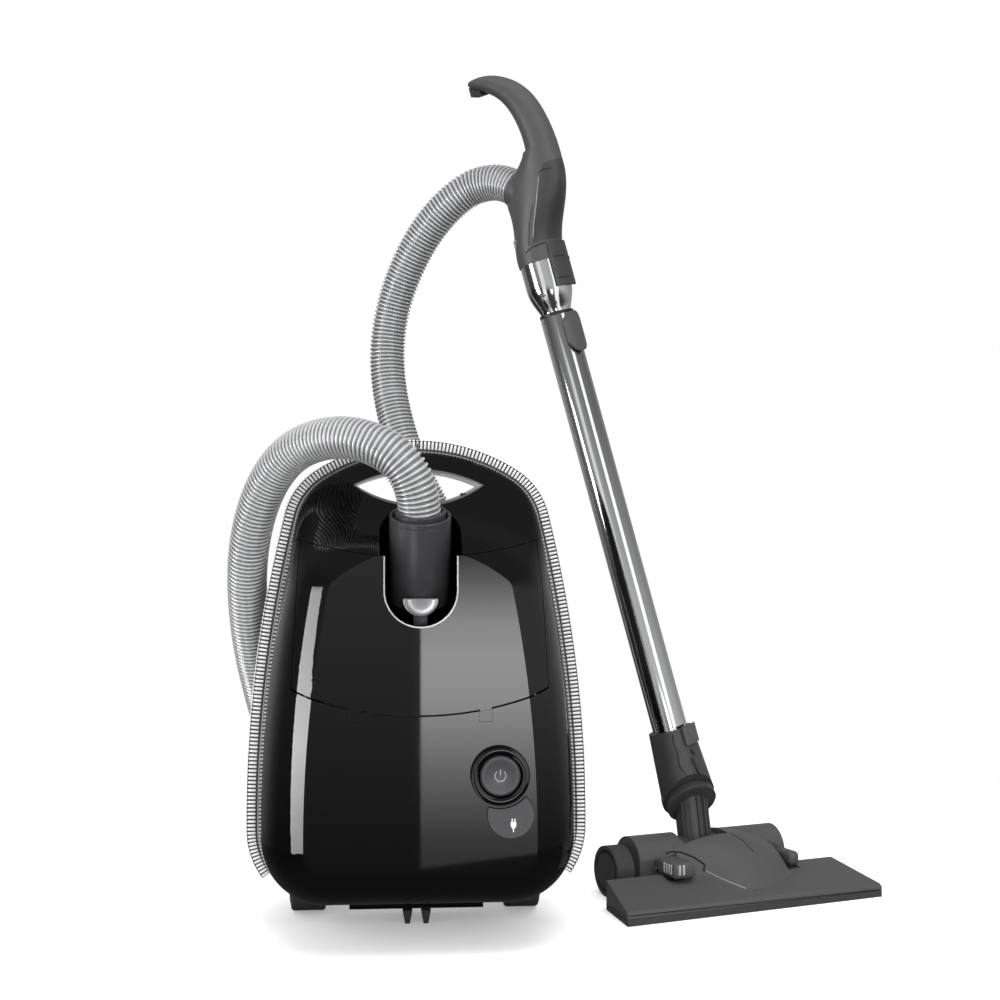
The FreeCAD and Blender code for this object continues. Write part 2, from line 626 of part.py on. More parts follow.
def make_controls():
    front, inside = FRONT_Y - FIT, FRONT_Y + WALL + FIT
    centre = V(DIAL_X, 0, DIAL_Z)

    def at(y):
        return V(DIAL_X, y, DIAL_Z)

    dial = tube(DIAL_R, BUTTON_R + FIT, at(front - DIAL_PROUD + 2), at(front))
    dial = dial.fuse(tube(DIAL_R - 2, BUTTON_R + FIT, at(front - DIAL_PROUD), at(front - DIAL_PROUD + 2)))
    dial = dial.fuse(tube(DIAL_R - 4.0 - RUN, BUTTON_R + FIT, at(front - 1), at(inside + 3)))
    dial = dial.fuse(tube(DIAL_R - 2.5, BUTTON_R + FIT, at(inside), at(inside + 3)))
    add("suction_dial", dial)
    dish = Part.makeSphere(60, V(centre.x, front - DIAL_PROUD - 56, centre.z))
    button = rod(BUTTON_R, at(front - DIAL_PROUD + 1.5), at(inside + 6)).cut(dish)
    button = button.fuse(rod(4.0, at(inside + 5), at(FRONT_Y + 11.5)))
    add("power_button", button)
    rewind = rewind_outline(0, front - 2, front + 6)
    stem = rod(3.5, V(REWIND_X, front + 5, REWIND_Z - 6), V(REWIND_X, FRONT_Y + 19.5, REWIND_Z - 6))
    add("rewind_button", rewind.fuse(stem))
    board_y = FRONT_Y + BOARD_DEPTH
    x0, x1 = DIAL_X + BOARD_SPAN[0], DIAL_X + BOARD_SPAN[1]
    board = box(x0, x1, board_y + FIT, board_y + 2, REWIND_Z - 14, DIAL_Z + 30)
    switch = box(DIAL_X - 8, DIAL_X + 8, FRONT_Y + 14, board_y + FIT, DIAL_Z - 8, DIAL_Z + 8)
    choke = box(DIAL_X - 50, DIAL_X - 26, board_y + 2, board_y + 16, DIAL_Z - 12, DIAL_Z + 12)
    add("control_board", board.fuse(switch).fuse(choke))


def make_wheels():
    for side, name in ((-1, "left"), (1, "right")):
        def at(x):
            return V(side * x, WHEEL_Y, WHEEL_Z)

        hub = rod(WHEEL_R - TYRE, at(WHEEL_IN), at(WHEEL_OUT))
        hub = hub.cut(rod(WHEEL_R - TYRE - 5, at(WHEEL_OUT - 8), at(WHEEL_OUT + 1)))
        hub = hub.fuse(rod(14, at(WHEEL_OUT - 10), at(WHEEL_OUT - 1)))
        hub = hub.cut(rod(AXLE_R + RUN, at(WHEEL_IN - 1), at(WHEEL_OUT - 4)))
        for number in range(6):
            angle = math.radians(60 * number)
            spot = V(0, math.cos(angle), math.sin(angle)) * 25
            hub = hub.cut(rod(6.5, at(WHEEL_IN - 1) + spot, at(WHEEL_OUT + 1) + spot))
        add("wheel_" + name, hub)
        tyre = tube(WHEEL_R, WHEEL_R - TYRE, at(WHEEL_IN + 1), at(WHEEL_OUT - 1))
        tyre = tyre.makeFillet(2.5, [e for e in tyre.Edges if abs(e.Length - 2 * math.pi * WHEEL_R) < 1])
        add("tyre_" + name, tyre)
    axles = []
    for side in (-1, 1):
        start = V(side * (WHEEL_IN - 9), WHEEL_Y, WHEEL_Z)
        axles.append(rod(AXLE_R, start, V(side * (WHEEL_OUT - 4.5), WHEEL_Y, WHEEL_Z)))
    add("wheel_axles", *axles)
    wheel_z, wheel_y = CASTER_Z - CASTER_TRAIL, WHEEL_Y + WHEEL_R - CASTER_R
    stem = rod(8.0, V(0, 54, CASTER_Z), V(0, 68, CASTER_Z))
    plate = rod(21.0, V(0, 64.4, CASTER_Z), V(0, 69, CASTER_Z))
    fork = stem.fuse(plate)
    for side in (-1, 1):
        x0, x1 = sorted((side * 8.5, side * 12.0))
        end_y = wheel_y + 5
        corners = [(68, CASTER_Z + 8), (end_y, wheel_z + 4), (end_y, wheel_z - 4), (68, wheel_z - 6)]
        fork = fork.fuse(polygon([V(x0, y, z) for y, z in corners], V(x1 - x0, 0, 0)))
    pin = rod(2.0, V(-12, wheel_y, wheel_z), V(12, wheel_y, wheel_z))
    add("caster_fork", fork.fuse(pin))
    wheel = tube(CASTER_R, 2.0 + RUN, V(-8.1, wheel_y, wheel_z), V(8.1, wheel_y, wheel_z))
    add("caster_wheel", wheel)


def make_inside():
    make_chamber()
    make_motor()
    make_reel()


def make_chamber():
    """The dust chamber behind the lid, the bag holder under the port and the bag."""
    floor_z, roof_z, half, wall = CHAMBER_FLOOR_Z, CHAMBER_ROOF_Z, CHAMBER_HALF, CHAMBER_WALL
    space = dome(FRONT_SECTIONS, WALL + 6).fuse(dome(BACK_SECTIONS, WALL + FIT)).fuse(slab(28, -20, 20))
    chamber = box(-half, half, CHAMBER_FRONT, CHAMBER_REAR, floor_z, roof_z)
    reach = half - wall
    hollow = (CHAMBER_FRONT - 20, CHAMBER_REAR - wall, floor_z + wall, roof_z - wall)
    chamber = chamber.cut(box(-reach, reach, *hollow))
    chamber = chamber.cut(box(-half - 1, half + 1, CHAMBER_FRONT - 20, -37, LID_TOP_MID_Z - 30, roof_z + 1))
    caster = rod(CASTER_WELL_R + POCKET_WALL + FIT, V(0, 50, CASTER_Z), V(0, 110, CASTER_Z))
    port = box(MOTOR_X - 45, MOTOR_X + 45, MOTOR_Y - 45, MOTOR_Y + 45, floor_z - 1, floor_z + 3)
    chamber = chamber.common(space).cut(caster).cut(port).cut(filter_ring(FIT))
    add("bag_chamber", *[solid for solid in chamber.Solids if solid.Volume > 500])

    tilt = math.radians(MOUTH_TILT)
    out = V(0, -math.sin(tilt), math.cos(tilt))
    along = V(0, math.cos(tilt), math.sin(tilt))
    centre = connector_axis(-CONNECTOR_LENGTH - PORT_LENGTH - 2 - FIT)
    width = reach - FIT
    low, high = [centre + along * end - V(width, 0, 0) for end in HOLDER_SPAN]
    plate = polygon([low, high, high - out * HOLDER_THICK, low - out * HOLDER_THICK], V(2 * width, 0, 0))
    add("bag_holder", plate.cut(rod(PORT_BORE_R + 1, centre + out * 2, centre - out * 5)))

    drop = out * (HOLDER_THICK + BAG_GAP)
    low = centre + along * (HOLDER_SPAN[0] + 2) - drop
    high = centre + along * (HOLDER_SPAN[1] + 2) - drop
    rear = CHAMBER_REAR - 8
    corners = [(-84, floor_z + 4), (rear, floor_z + 4), (rear, roof_z - 114), (20, roof_z - 42)]
    corners += [(-8, roof_z - 42), (high.y, high.z), (low.y, low.z)]
    bag = polygon([V(-BAG_HALF, y, z) for y, z in corners], V(2 * BAG_HALF, 0, 0))
    add("filter_bag", bag.cut(box(-BAG_HALF - 1, BAG_HALF + 1, -130, -80, 0, 400)))


def make_motor():
    """The motor with its fan, its rubber mounts and the filter above it."""
    low, top = MOTOR_Z

    def at(z):
        return V(MOTOR_X, MOTOR_Y, z)

    housing = tube(MOTOR_R, MOTOR_R - MOTOR_WALL, at(low), at(top))
    housing = housing.fuse(tube(MOTOR_R - 1, PORT_BORE_R, at(top - MOTOR_WALL), at(top)))
    for z in (low, top - 36):
        housing = housing.fuse(tube(MOTOR_R - 2, BEARING_R + 0.1, at(z), at(z + 3)))
    for number in range(6):
        angle = math.radians(60 * number)
        side = V(math.cos(angle), math.sin(angle), 0)
        housing = housing.cut(rod(7, at(low + 18) + side * 40, at(low + 18) + side * 55))
    add("motor_housing", housing)
    bearings = [tube(BEARING_R, SHAFT_R + RUN, at(z), at(z + 6)) for z in (low + 0.5, top - 39)]
    stator = tube(MOTOR_R - MOTOR_WALL - FIT, 30, at(low + 22), at(low + 76))
    add("motor_stator", stator, *bearings)
    rotor = rod(SHAFT_R, at(low + 1), at(top - 7)).fuse(rod(28, at(low + 24), at(low + 74)))
    add("motor_rotor", rotor.fuse(rod(14, at(low + 10), at(low + 20))))
    fan_z = top - 28
    fan = rod(FAN_R, at(fan_z), at(fan_z + 2)).fuse(rod(9, at(fan_z + 1), at(fan_z + 18)))
    fan = fan.cut(rod(SHAFT_R, at(fan_z - 1), at(fan_z + 19)))
    for number in range(FAN_BLADES):
        blade = box(8, FAN_R - 2, -0.8, 0.8, fan_z + 1, fan_z + 16)
        blade.Placement = FreeCAD.Placement(at(0), FreeCAD.Rotation(V(0, 0, 1), 360 / FAN_BLADES * number))
        fan = fan.fuse(blade)
    add("motor_fan", fan)
    foot = tube(MOUNT_R, MOUNT_BORE_R, at(underside(MOTOR_Y - MOUNT_R)), at(low - 0.1))
    add("motor_mounts", foot, tube(38, 22, at(top + 0.1), at(FRAME_LOW_Z - 0.1)))

    def around(half_x, half_y, z0, z1):
        return box(MOTOR_X - half_x, MOTOR_X + half_x, MOTOR_Y - half_y, MOTOR_Y + half_y, z0, z1)

    lip = FRAME_LIP
    frame = around(FRAME_HALF_X, FRAME_HALF_Y, FRAME_LOW_Z, CHAMBER_FLOOR_Z - FIT)
    frame = frame.cut(around(FRAME_HALF_X - lip, FRAME_HALF_Y - lip, FRAME_LOW_Z + 4, CHAMBER_FLOOR_Z))
    frame = frame.cut(rod(17, at(FRAME_LOW_Z - 4), at(CHAMBER_FLOOR_Z + 2)))
    foam = around(FRAME_HALF_X - lip, FRAME_HALF_Y - lip, FRAME_LOW_Z + 4, CHAMBER_FLOOR_Z - 2)
    add("motor_filter", frame, foam)


def make_reel():
    """The cable reel's drum, and the bracket that holds its shaft and spring case."""
    x0, x1 = REEL_X + REEL_SPAN[0], REEL_X + REEL_SPAN[1]

    def on(x):
        return V(x, REEL_Y, REEL_Z)

    drum = tube(REEL_CORE_R, REEL_SHAFT_R + RUN, on(x0 + 4), on(x1 - 14))
    for x in (x0 + 4, x1 - 16):
        drum = drum.fuse(tube(REEL_R, REEL_SHAFT_R + RUN, on(x), on(x + 2)))
    add("reel_drum", drum)
    spring_case = tube(SPRING_CASE_R, REEL_SHAFT_R, on(x1 - 13.7), on(x1 - 4))
    foot_z = underside(REEL_Y - BRACKET_HALF)
    bracket = rod(REEL_SHAFT_R, on(x0), on(x1))
    for start in (x0 - 2, x1 - 3):
        y0, y1 = REEL_Y - BRACKET_HALF, REEL_Y + BRACKET_HALF
        bracket = bracket.fuse(box(start, start + 3, y0, y1, foot_z, REEL_Z + BRACKET_RISE))
    add("reel_bracket", bracket, spring_case)


def wand_placement():
    """The wand's own frame: z along the wand from the swivel centre, x to the handle's outer side."""
    centre = head_placement().multVec(NECK_TOP)
    up = (WAND_TOP - centre).normalize()
    away = V(math.sin(math.radians(VIEW_TURN)), math.cos(math.radians(VIEW_TURN)), 0)
    right = away.cross(up).normalize()
    turn = math.radians(HANDLE_TURN)
    face = right * math.sin(turn) - up.cross(right) * math.cos(turn)
    return FreeCAD.Placement(centre, FreeCAD.Rotation(face, up.cross(face), up, "ZXY"))


def head_placement():
    return FreeCAD.Placement(HEAD_AT, FreeCAD.Rotation(V(0, 0, 1), HEAD_TURN))


def moved(shape, placement):
    copy = shape.copy()
    copy.Placement = placement.multiply(copy.Placement)
    return copy


def swivel_axis():
    """The elbow's swivel axis in the head's frame, leaning back."""
    lean = math.radians(SWIVEL_LEAN)
    return V(0, math.sin(lean), math.cos(lean))


def arch(y, x0, x1, side, top, inset=0.0):
    """A section across the nose of the floor head: flat base, upright sides and a rounded crown."""
    x0, x1, side, top = x0 + inset, x1 - inset, side - inset, top - inset
    low = SOLE_FLAT - inset
    middle = V((x0 + x1) / 2, y, top)
    edges = [
        line(V(x0, y, low), V(x1, y, low)),
        line(V(x1, y, low), V(x1, y, side)),
        arc(V(x1, y, side), middle, V(x0, y, side)),
        line(V(x0, y, side), V(x0, y, low)),
    ]
    return Part.Wire(edges)


def nose(inset=0.0):
    sections = [list(values) for values in NOSE_SECTIONS]
    sections[0][0] += inset
    sections[-1][0] -= inset
    return Part.makeLoft([arch(*values, inset) for values in sections], True, False)


def barrel(inset=0.0):
    """The rear housing of the floor head, rounded over the neck's pivot."""
    low, r = SOLE_FLAT - inset, HOUSING_TOP - inset
    front, rear = HOUSING_FRONT + inset, HOUSING_REAR - inset
    x0, x1 = -HOUSING_HALF + inset, NOSE_RIGHT - inset
    edges = [
        line(V(x0, rear, low), V(x0, front, low)),
        line(V(x0, front, low), V(x0, front, HOUSING_SIDE)),
        arc(V(x0, front, HOUSING_SIDE), V(x0, (front + rear) / 2, r), V(x0, rear, HOUSING_SIDE)),
        line(V(x0, rear, HOUSING_SIDE), V(x0, rear, low)),
    ]
    return prism(edges, V(x1 - x0, 0, 0))


def wing(inset=0.0):
    """The flat front of the floor head: low in front, higher behind, with drawn-in ends."""
    low, y0, y1 = SOLE_FLAT - inset, inset, SOLE_DEPTH - inset
    left, right = SOLE_LEFT - inset, SOLE_RIGHT - inset
    profile = [(y0, low), (y0, WING_FRONT - 2.5 - inset), (y0 + 3, WING_FRONT - inset)]
    profile += [(y1, WING_REAR - inset), (y1, low)]
    shape = polygon([V(-left, y, z) for y, z in profile], V(left + right, 0, 0))
    plan = [V(-left, y0, 0), V(right, y0, 0), V(right - WING_TAPER, y1, 0), V(WING_TAPER - left, y1, 0)]
    return shape.common(polygon(plan, V(0, 0, HOUSING_TOP)))


def on_axle(x):
    return V(x, HEAD_AXLE_Y, HEAD_AXLE_Z)


def head_wells():
    """What is cut from the floor head for its neck, right wheel and pedals, and the walls around that."""
    wall, y, z = HEAD_WALL, NECK_PIVOT_Y, NECK_PIVOT_Z
    reach = NECK_R + 2.0
    top = HOUSING_TOP
    x0, x1, front = -NECK_SLOT, NECK_SLOT, y - reach - 5
    slot = box(x0, x1, front, HOUSING_REAR + 2, z - reach, top + 5)
    slot_out = box(x0 - wall, x1 + wall, front - wall, HOUSING_REAR, z - reach - wall, top)
    x0, x1, r = RIGHT_WHEEL_IN - 1, RIGHT_WHEEL_OUT + 1, HEAD_WHEEL_R + 1.5
    well = rod(r, on_axle(x0), on_axle(x1))
    well = well.fuse(box(x0, x1, HEAD_AXLE_Y - r, HOUSING_REAR + 2, -1, HEAD_AXLE_Z))
    well_out = rod(r + wall, on_axle(x0 - wall), on_axle(NOSE_RIGHT))
    holes, walls = [slot, well], [slot_out, well_out]
    for left, right in (PEDAL_LEFT, PEDAL_RIGHT):
        x0, x1 = left - PEDAL_GAP, right + PEDAL_GAP
        y0, y1 = PEDAL_FRONT - 1.5, PEDAL_REAR + 3
        holes.append(box(x0, x1, y0, y1, PEDAL_SEAT_Z, top))
        walls.append(box(x0 - wall, x1 + wall, y0 - wall, y1 + wall, PEDAL_SEAT_Z - wall, top))
    return union(holes), union(walls)


def make_head():
    solid = union([wing(), nose(), barrel()])
    hollow = union([wing(HEAD_WALL), nose(HEAD_WALL), barrel(HEAD_WALL)])
    pivot = V(0, NECK_PIVOT_Y, NECK_PIVOT_Z)
    holes, walls = head_wells()
    cover = union([solid.cut(hollow), walls.common(solid)]).cut(holes)
    cover = cover.cut(box(-SOLE_LEFT, SOLE_RIGHT, -1, HOUSING_REAR + 1, -1, SOLE_FLAT + FIT))
    pins = []
    for start, end, radius in head_pin_places():
        cover = cover.cut(rod(radius, start, end))
        pins.append(rod(radius, start, end))
    left_boss = rod(8.0, on_axle(-HOUSING_HALF - 1.5), on_axle(-HOUSING_HALF + HEAD_WALL))
    left_axle = rod(HEAD_AXLE_R, on_axle(-HEAD_WHEEL_OUT + 4), on_axle(-HOUSING_HALF + 12))
    right_axle = rod(HEAD_AXLE_R, on_axle(RIGHT_WHEEL_IN - 6), on_axle(NOSE_RIGHT - 0.5))
    cover = cover.fuse(left_boss).cut(left_axle).cut(right_axle)
    add("head_cover", union([part for part in cover.Solids if part.Volume > 400]))
    add("head_pins", left_axle, right_axle, *pins)
    make_sole()
    make_pedals_and_wheels()

    # Neck between its pivot and the elbow's swivel
    centre, axis = NECK_TOP, swivel_axis()
    lean = (centre - pivot).normalize()
    turned = rod(NECK_R, pivot, centre + lean * 30)
    for number in range(NECK_FINS):
        angle = math.radians(-150 + 28 * number)
        side = V(1, 0, 0) * math.cos(angle) + V(1, 0, 0).cross(lean) * -math.sin(angle)
        low, edge = pivot + lean * 8, side * (NECK_R + 2)
        turned = turned.fuse(polygon([low, low + edge, centre + edge, centre], V(1.4, 0, 0)))
    keep = rod(60, centre - axis * 120, centre - axis * JOINT_GAP)
    turned = turned.common(keep)
    disc = rod(JOINT_R - 2, centre - axis * 9, centre - axis * JOINT_GAP)
    hub = rod(NECK_R - 1.5, pivot - V(NECK_SLOT - 1, 0, 0), pivot + V(NECK_SLOT - 1, 0, 0))
    neck = union([turned, disc, hub])
    bore = rod(NECK_BORE, pivot, centre + axis * 20)
    neck = neck.cut(bore).cut(rod(NECK_PIN_R + RUN, pivot - V(40, 0, 0), pivot + V(40, 0, 0)))
    spigot = tube(NECK_BORE + 5, NECK_BORE, centre - axis * 5, centre + axis * 6).cut(bore)
    add("neck_base", neck.fuse(spigot).removeSplitter())


def make_sole():
    """The sole with its mouth, and the brush strips in it."""
    low = BRUSH_Y[0] - 2.2
    plan = [(-SOLE_LEFT, 0), (SOLE_RIGHT, 0), (SOLE_RIGHT - WING_TAPER, SOLE_DEPTH)]
    plan += [(WING_TAPER - SOLE_LEFT, SOLE_DEPTH)]
    sole = polygon([V(x, y, 0) for x, y in plan], V(0, 0, SOLE_FLAT))
    rear = box(-HOUSING_HALF, NOSE_RIGHT - 4, SOLE_DEPTH - 1, HOUSING_REAR, 3.0, SOLE_FLAT)
    sole = sole.fuse(rear).removeSplitter()
    sole = sole.cut(box(-SOLE_LEFT + 22, SOLE_RIGHT - 22, 34, 46, -1, SOLE_FLAT + 1))
    for y in BRUSH_Y:
        sole = sole.cut(box(-BRUSH_HALF - 1, BRUSH_HALF + 1, y - 3, y + 3, -1, SOLE_FLAT + 1))
    wheel_y = HEAD_AXLE_Y - HEAD_WHEEL_R - 1.5
    sole = sole.cut(box(RIGHT_WHEEL_IN - 1, NOSE_RIGHT, wheel_y, HOUSING_REAR + 1, -1, SOLE_FLAT + 1))
    add("head_sole", sole)
    strips = [box(-BRUSH_HALF, BRUSH_HALF, y - 2.2, y + 2.2, 0.3, 8.5) for y in BRUSH_Y]
    for x in (-BRUSH_HALF, BRUSH_HALF - 12):
        strips.append(box(x, x + 12, low, BRUSH_Y[1] + 2.2, 7.2, 8.5))
    add("brush_strips", union(strips))


def make_pedals_and_wheels():
    pin_y = PEDAL_REAR - PEDAL_PIN_BACK
    profile = [(PEDAL_FRONT, 28), (PEDAL_FRONT, 34), (pin_y, PEDAL_PIN_Z + 11)]
    profile += [(PEDAL_REAR, 40), (PEDAL_REAR, 27)]
    for name, (x0, x1) in (("pedal_left", PEDAL_LEFT), ("pedal_right", PEDAL_RIGHT)):
        pedal = polygon([V(x0, y, z) for y, z in profile], V(x1 - x0, 0, 0))
        bore = rod(PEDAL_PIN_R + RUN, V(x0 - 1, pin_y, PEDAL_PIN_Z), V(x1 + 1, pin_y, PEDAL_PIN_Z))
        add(name, pedal.cut(bore))

    left = ("head_wheel_left", -HEAD_WHEEL_IN, -HEAD_WHEEL_OUT, -HEAD_WHEEL_OUT + 3.5)
    right = ("head_wheel_right", RIGHT_WHEEL_IN, RIGHT_WHEEL_OUT, RIGHT_WHEEL_OUT)
    for name, inner, outer, bore_end in (left, right):
        inward = 1 if inner > outer else -1
        wheel = rod(HEAD_WHEEL_R, on_axle(inner), on_axle(outer))
        groove = tube(HEAD_WHEEL_R - 4, HEAD_WHEEL_R - 7, on_axle(outer), on_axle(outer + 3 * inward))
        wheel = wheel.cut(groove).cut(rod(HEAD_AXLE_R + RUN, on_axle(inner + inward), on_axle(bore_end)))
        add(name, wheel)


def head_pin_places():
    x = NECK_SLOT + HEAD_WALL
    yield V(-x, NECK_PIVOT_Y, NECK_PIVOT_Z), V(-NECK_SLOT + 8, NECK_PIVOT_Y, NECK_PIVOT_Z), NECK_PIN_R
    yield V(NECK_SLOT - 8, NECK_PIVOT_Y, NECK_PIVOT_Z), V(x, NECK_PIVOT_Y, NECK_PIVOT_Z), NECK_PIN_R
    for x0, x1 in (PEDAL_LEFT, PEDAL_RIGHT):
        pin_y, reach = PEDAL_REAR - PEDAL_PIN_BACK, PEDAL_GAP + HEAD_WALL
        yield V(x0 - reach, pin_y, PEDAL_PIN_Z), V(x1 + reach, pin_y, PEDAL_PIN_Z), PEDAL_PIN_R


def make_elbow(axis):
    """The swivelling elbow and its clip, in the wand's frame; axis is the swivel axis there."""
    zero = V(0, 0, 0)

    def at(z):
        return V(0, 0, z)

    shell = Part.makeSphere(JOINT_R).fuse(cone(JOINT_R - 1, SOCKET_R, at(8), at(SOCKET_Z)))
    shell = shell.common(rod(200, axis * JOINT_GAP, axis * 200))
    shell = shell.cut(rod(LOWER_R + FIT, at(INSERT_Z), at(SOCKET_Z + 1)))
    shell = shell.cut(rod(LOWER_R - 2, at(0), at(INSERT_Z + 1)))
    shell = shell.cut(rod(NECK_BORE + 5 + RUN, zero, axis * 7))
    clip = tube(SOCKET_R + 4.3, SOCKET_R + 2.6, at(54), at(73)).common(box(0, 40, -10.5, 10.5, 50, 80))
    stem = rod(3.0, V(LOWER_R + FIT, 0, 60), V(SOCKET_R + 3.4, 0, 60))
    add("socket_clip", clip.fuse(stem))
    add("neck_elbow", shell.cut(rod(3.0 + RUN, V(10, 0, 60), V(40, 0, 60))))


def make_wand():
    def at(z):
        return V(0, 0, z)

    lower = tube(LOWER_R, LOWER_R - LOWER_WALL, at(INSERT_Z + 1), at(LOWER_TOP))
    lower = lower.cut(rod(3.5, V(10, 0, 60), V(40, 0, 60)))
    lower = lower.cut(rod(4.0 + RUN, V(10, 0, BUTTON_Z), V(40, 0, BUTTON_Z)))
    add("lower_tube", lower)
    sleeve = tube(LOWER_R - LOWER_WALL, UPPER_R + RUN, at(LOWER_TOP - 75), at(LOWER_TOP + 3))
    sleeve = sleeve.fuse(tube(LOWER_R, UPPER_R + RUN, at(LOWER_TOP), at(LOWER_TOP + 3)))
    add("guide_sleeve", sleeve.cut(rod(4.0 + RUN, V(10, 0, BUTTON_Z), V(40, 0, BUTTON_Z))))
    half, reach = BUTTON_WIDTH / 2, BUTTON_LENGTH / 2 - BUTTON_WIDTH / 2
    pad = box(0, 40, -half, half, BUTTON_Z - reach, BUTTON_Z + reach)
    for z in (-reach, reach):
        pad = pad.fuse(rod(half, V(0, 0, BUTTON_Z + z), V(40, 0, BUTTON_Z + z)))
    pad = pad.common(tube(LOWER_R + 4.6, LOWER_R + 1.4, at(0), at(LOWER_TOP + 20)))
    stem = rod(4.0, V(LOWER_R - 0.6, 0, BUTTON_Z), V(LOWER_R + 2.4, 0, BUTTON_Z))
    add("telescope_button", pad.fuse(stem))

    profile = [(UPPER_R, LOWER_TOP - UPPER_DEPTH), (UPPER_R, SWAGE_Z)]
    profile += [(GRIP_TUBE_R, SWAGE_Z + 21), (GRIP_TUBE_R, GRIP_TUBE_TOP)]
    outer = [V(r, 0, z) for r, z in profile]
    inner = [p - V(UPPER_WALL, 0, 0) for p in reversed(outer)]
    face = Part.Face(Part.makePolygon(outer + inner + [outer[0]]))
    upper = face.revolve(V(0, 0, 0), V(0, 0, 1), 360)
    upper = upper if upper.Solids else Part.Solid(upper)
    add("upper_tube", upper.cut(rod(2.6, V(10, 0, 546), V(40, 0, 546))))


def make_handle():
    def at(z):
        return V(0, 0, z)

    rings = [oval(V(u, 0, z), V(0, 0, 1), a, b) for z, u, a, b in BODY_RINGS]
    body = Part.makeLoft(rings, True, False)
    rings = [oval(V(u, 0, z), V(dx, 0, dz), a, b) for u, z, dx, dz, a, b in GRIP_RINGS]
    grip = Part.makeLoft(rings, True, False)
    mouth = V(*SOCKET_MOUTH)
    out = V(*SOCKET_OUT).normalize()
    trim = rod(80, mouth, mouth + out * 80).common(box(-90, mouth.x + 14, -60, 60, 600, 760))
    socket = rod(HOSE_SOCKET_R, mouth - out * 34, mouth)
    body = body.cut(trim).fuse(socket)
    whole = union([body, grip])
    bores = [
        rod(GRIP_TUBE_R + RUN, at(560), at(GRIP_TUBE_TOP)),
        rod(GRIP_TUBE_R - 6, at(GRIP_TUBE_TOP - 1), at(GRIP_TUBE_TOP + 22)),
        rod(HOSE_BORE_R, mouth - out * 45, mouth),
        rod(CUFF_R + RUN, mouth - out * 26, mouth + out),
    ]
    whole = whole.cut(union(bores))
    region = polygon([V(x, -SEAM_HALF, z) for x, z in SHELL_SEAM], V(0, 2 * SEAM_HALF, 0))
    shell = whole.cut(region)
    cover = whole.common(region)
    add("handle_shell", *[s for s in shell.Solids if s.Volume > 300])
    add("handle_cover", *[s for s in cover.Solids if s.Volume > 300])
    add("tip_insert", polygon([V(p[0], -6, p[1]) for p in TIP_INSERT], V(0, 12, 0)).cut(whole))
    cuff = tube(CUFF_R, HOSE_R + 0.1, mouth - out * 26, mouth - out * 1)
    add("hose_cuff", cuff.fuse(tube(CUFF_R, HOSE_BORE_R - 1, mouth - out * 26, mouth - out * 25)))
    clip = tube(GRIP_TUBE_R + 4.8, GRIP_TUBE_R + 1.7, at(CLIP_Z[0]), at(CLIP_Z[1]))
    clip = clip.common(box(0, 60, -CLIP_HALF, CLIP_HALF, 500, 600))
    clip = clip.cut(rod(GRIP_TUBE_R + 3.0, at(CLIP_PIVOT_Z + 3), at(CLIP_Z[1] + 1)))
    for side in (-1, 1):
        start, end = V(CLIP_PIVOT_X, side * 9, CLIP_PIVOT_Z), V(CLIP_PIVOT_X, side * CLIP_HALF, CLIP_PIVOT_Z)
        clip = clip.fuse(rod(CLIP_PIN_R, start, end))
    tooth = rod(2.4, V(GRIP_TUBE_R - 0.8, 0, 546), V(GRIP_TUBE_R + 3, 0, 546))
    add("handle_clip", clip.fuse(tooth))


def oval(centre, direction, a, b):
    """An oval across direction: four arcs of a circle, scaled, as one closed curve."""
    direction = V(direction).normalize()
    side = V(0, 1, 0)
    inplane = side.cross(direction).normalize()
    points = []
    for number in range(16):
        angle = 2 * math.pi * number / 16
        points.append(centre + inplane * (a * math.cos(angle)) + side * (b * math.sin(angle)))
    curve = Part.BSplineCurve()
    curve.interpolate(points, PeriodicFlag=True)
    return Part.Wire(curve.toShape())


def hose_route(points, name):
    """Straight runs joined by tangent arcs; prints each arc's radius."""
    edges, radii, start = [], [], points[0]
    for before, corner, after in zip(points, points[1:], points[2:]):
        a, b = (corner - before), (after - corner)
        turn = a.getAngle(b)
        shorter = min(a.Length, b.Length)
        reach = 0.45 * shorter
        radii.append(reach / math.tan(turn / 2))
        p, q = corner - a.normalize() * reach, corner + b.normalize() * reach
        middle_way = ((p + q) * 0.5 - corner).normalize()
        centre = corner + middle_way * math.hypot(reach, radii[-1])
        middle = centre - middle_way * radii[-1]
        edges.append(line(start, p))
        edges.append(arc(p, middle, q))
        start = q
    edges.append(line(start, points[-1]))
    length = sum(edge.Length for edge in edges)
    print(name, "radii", [round(r) for r in radii], "length", round(length))
    return edges


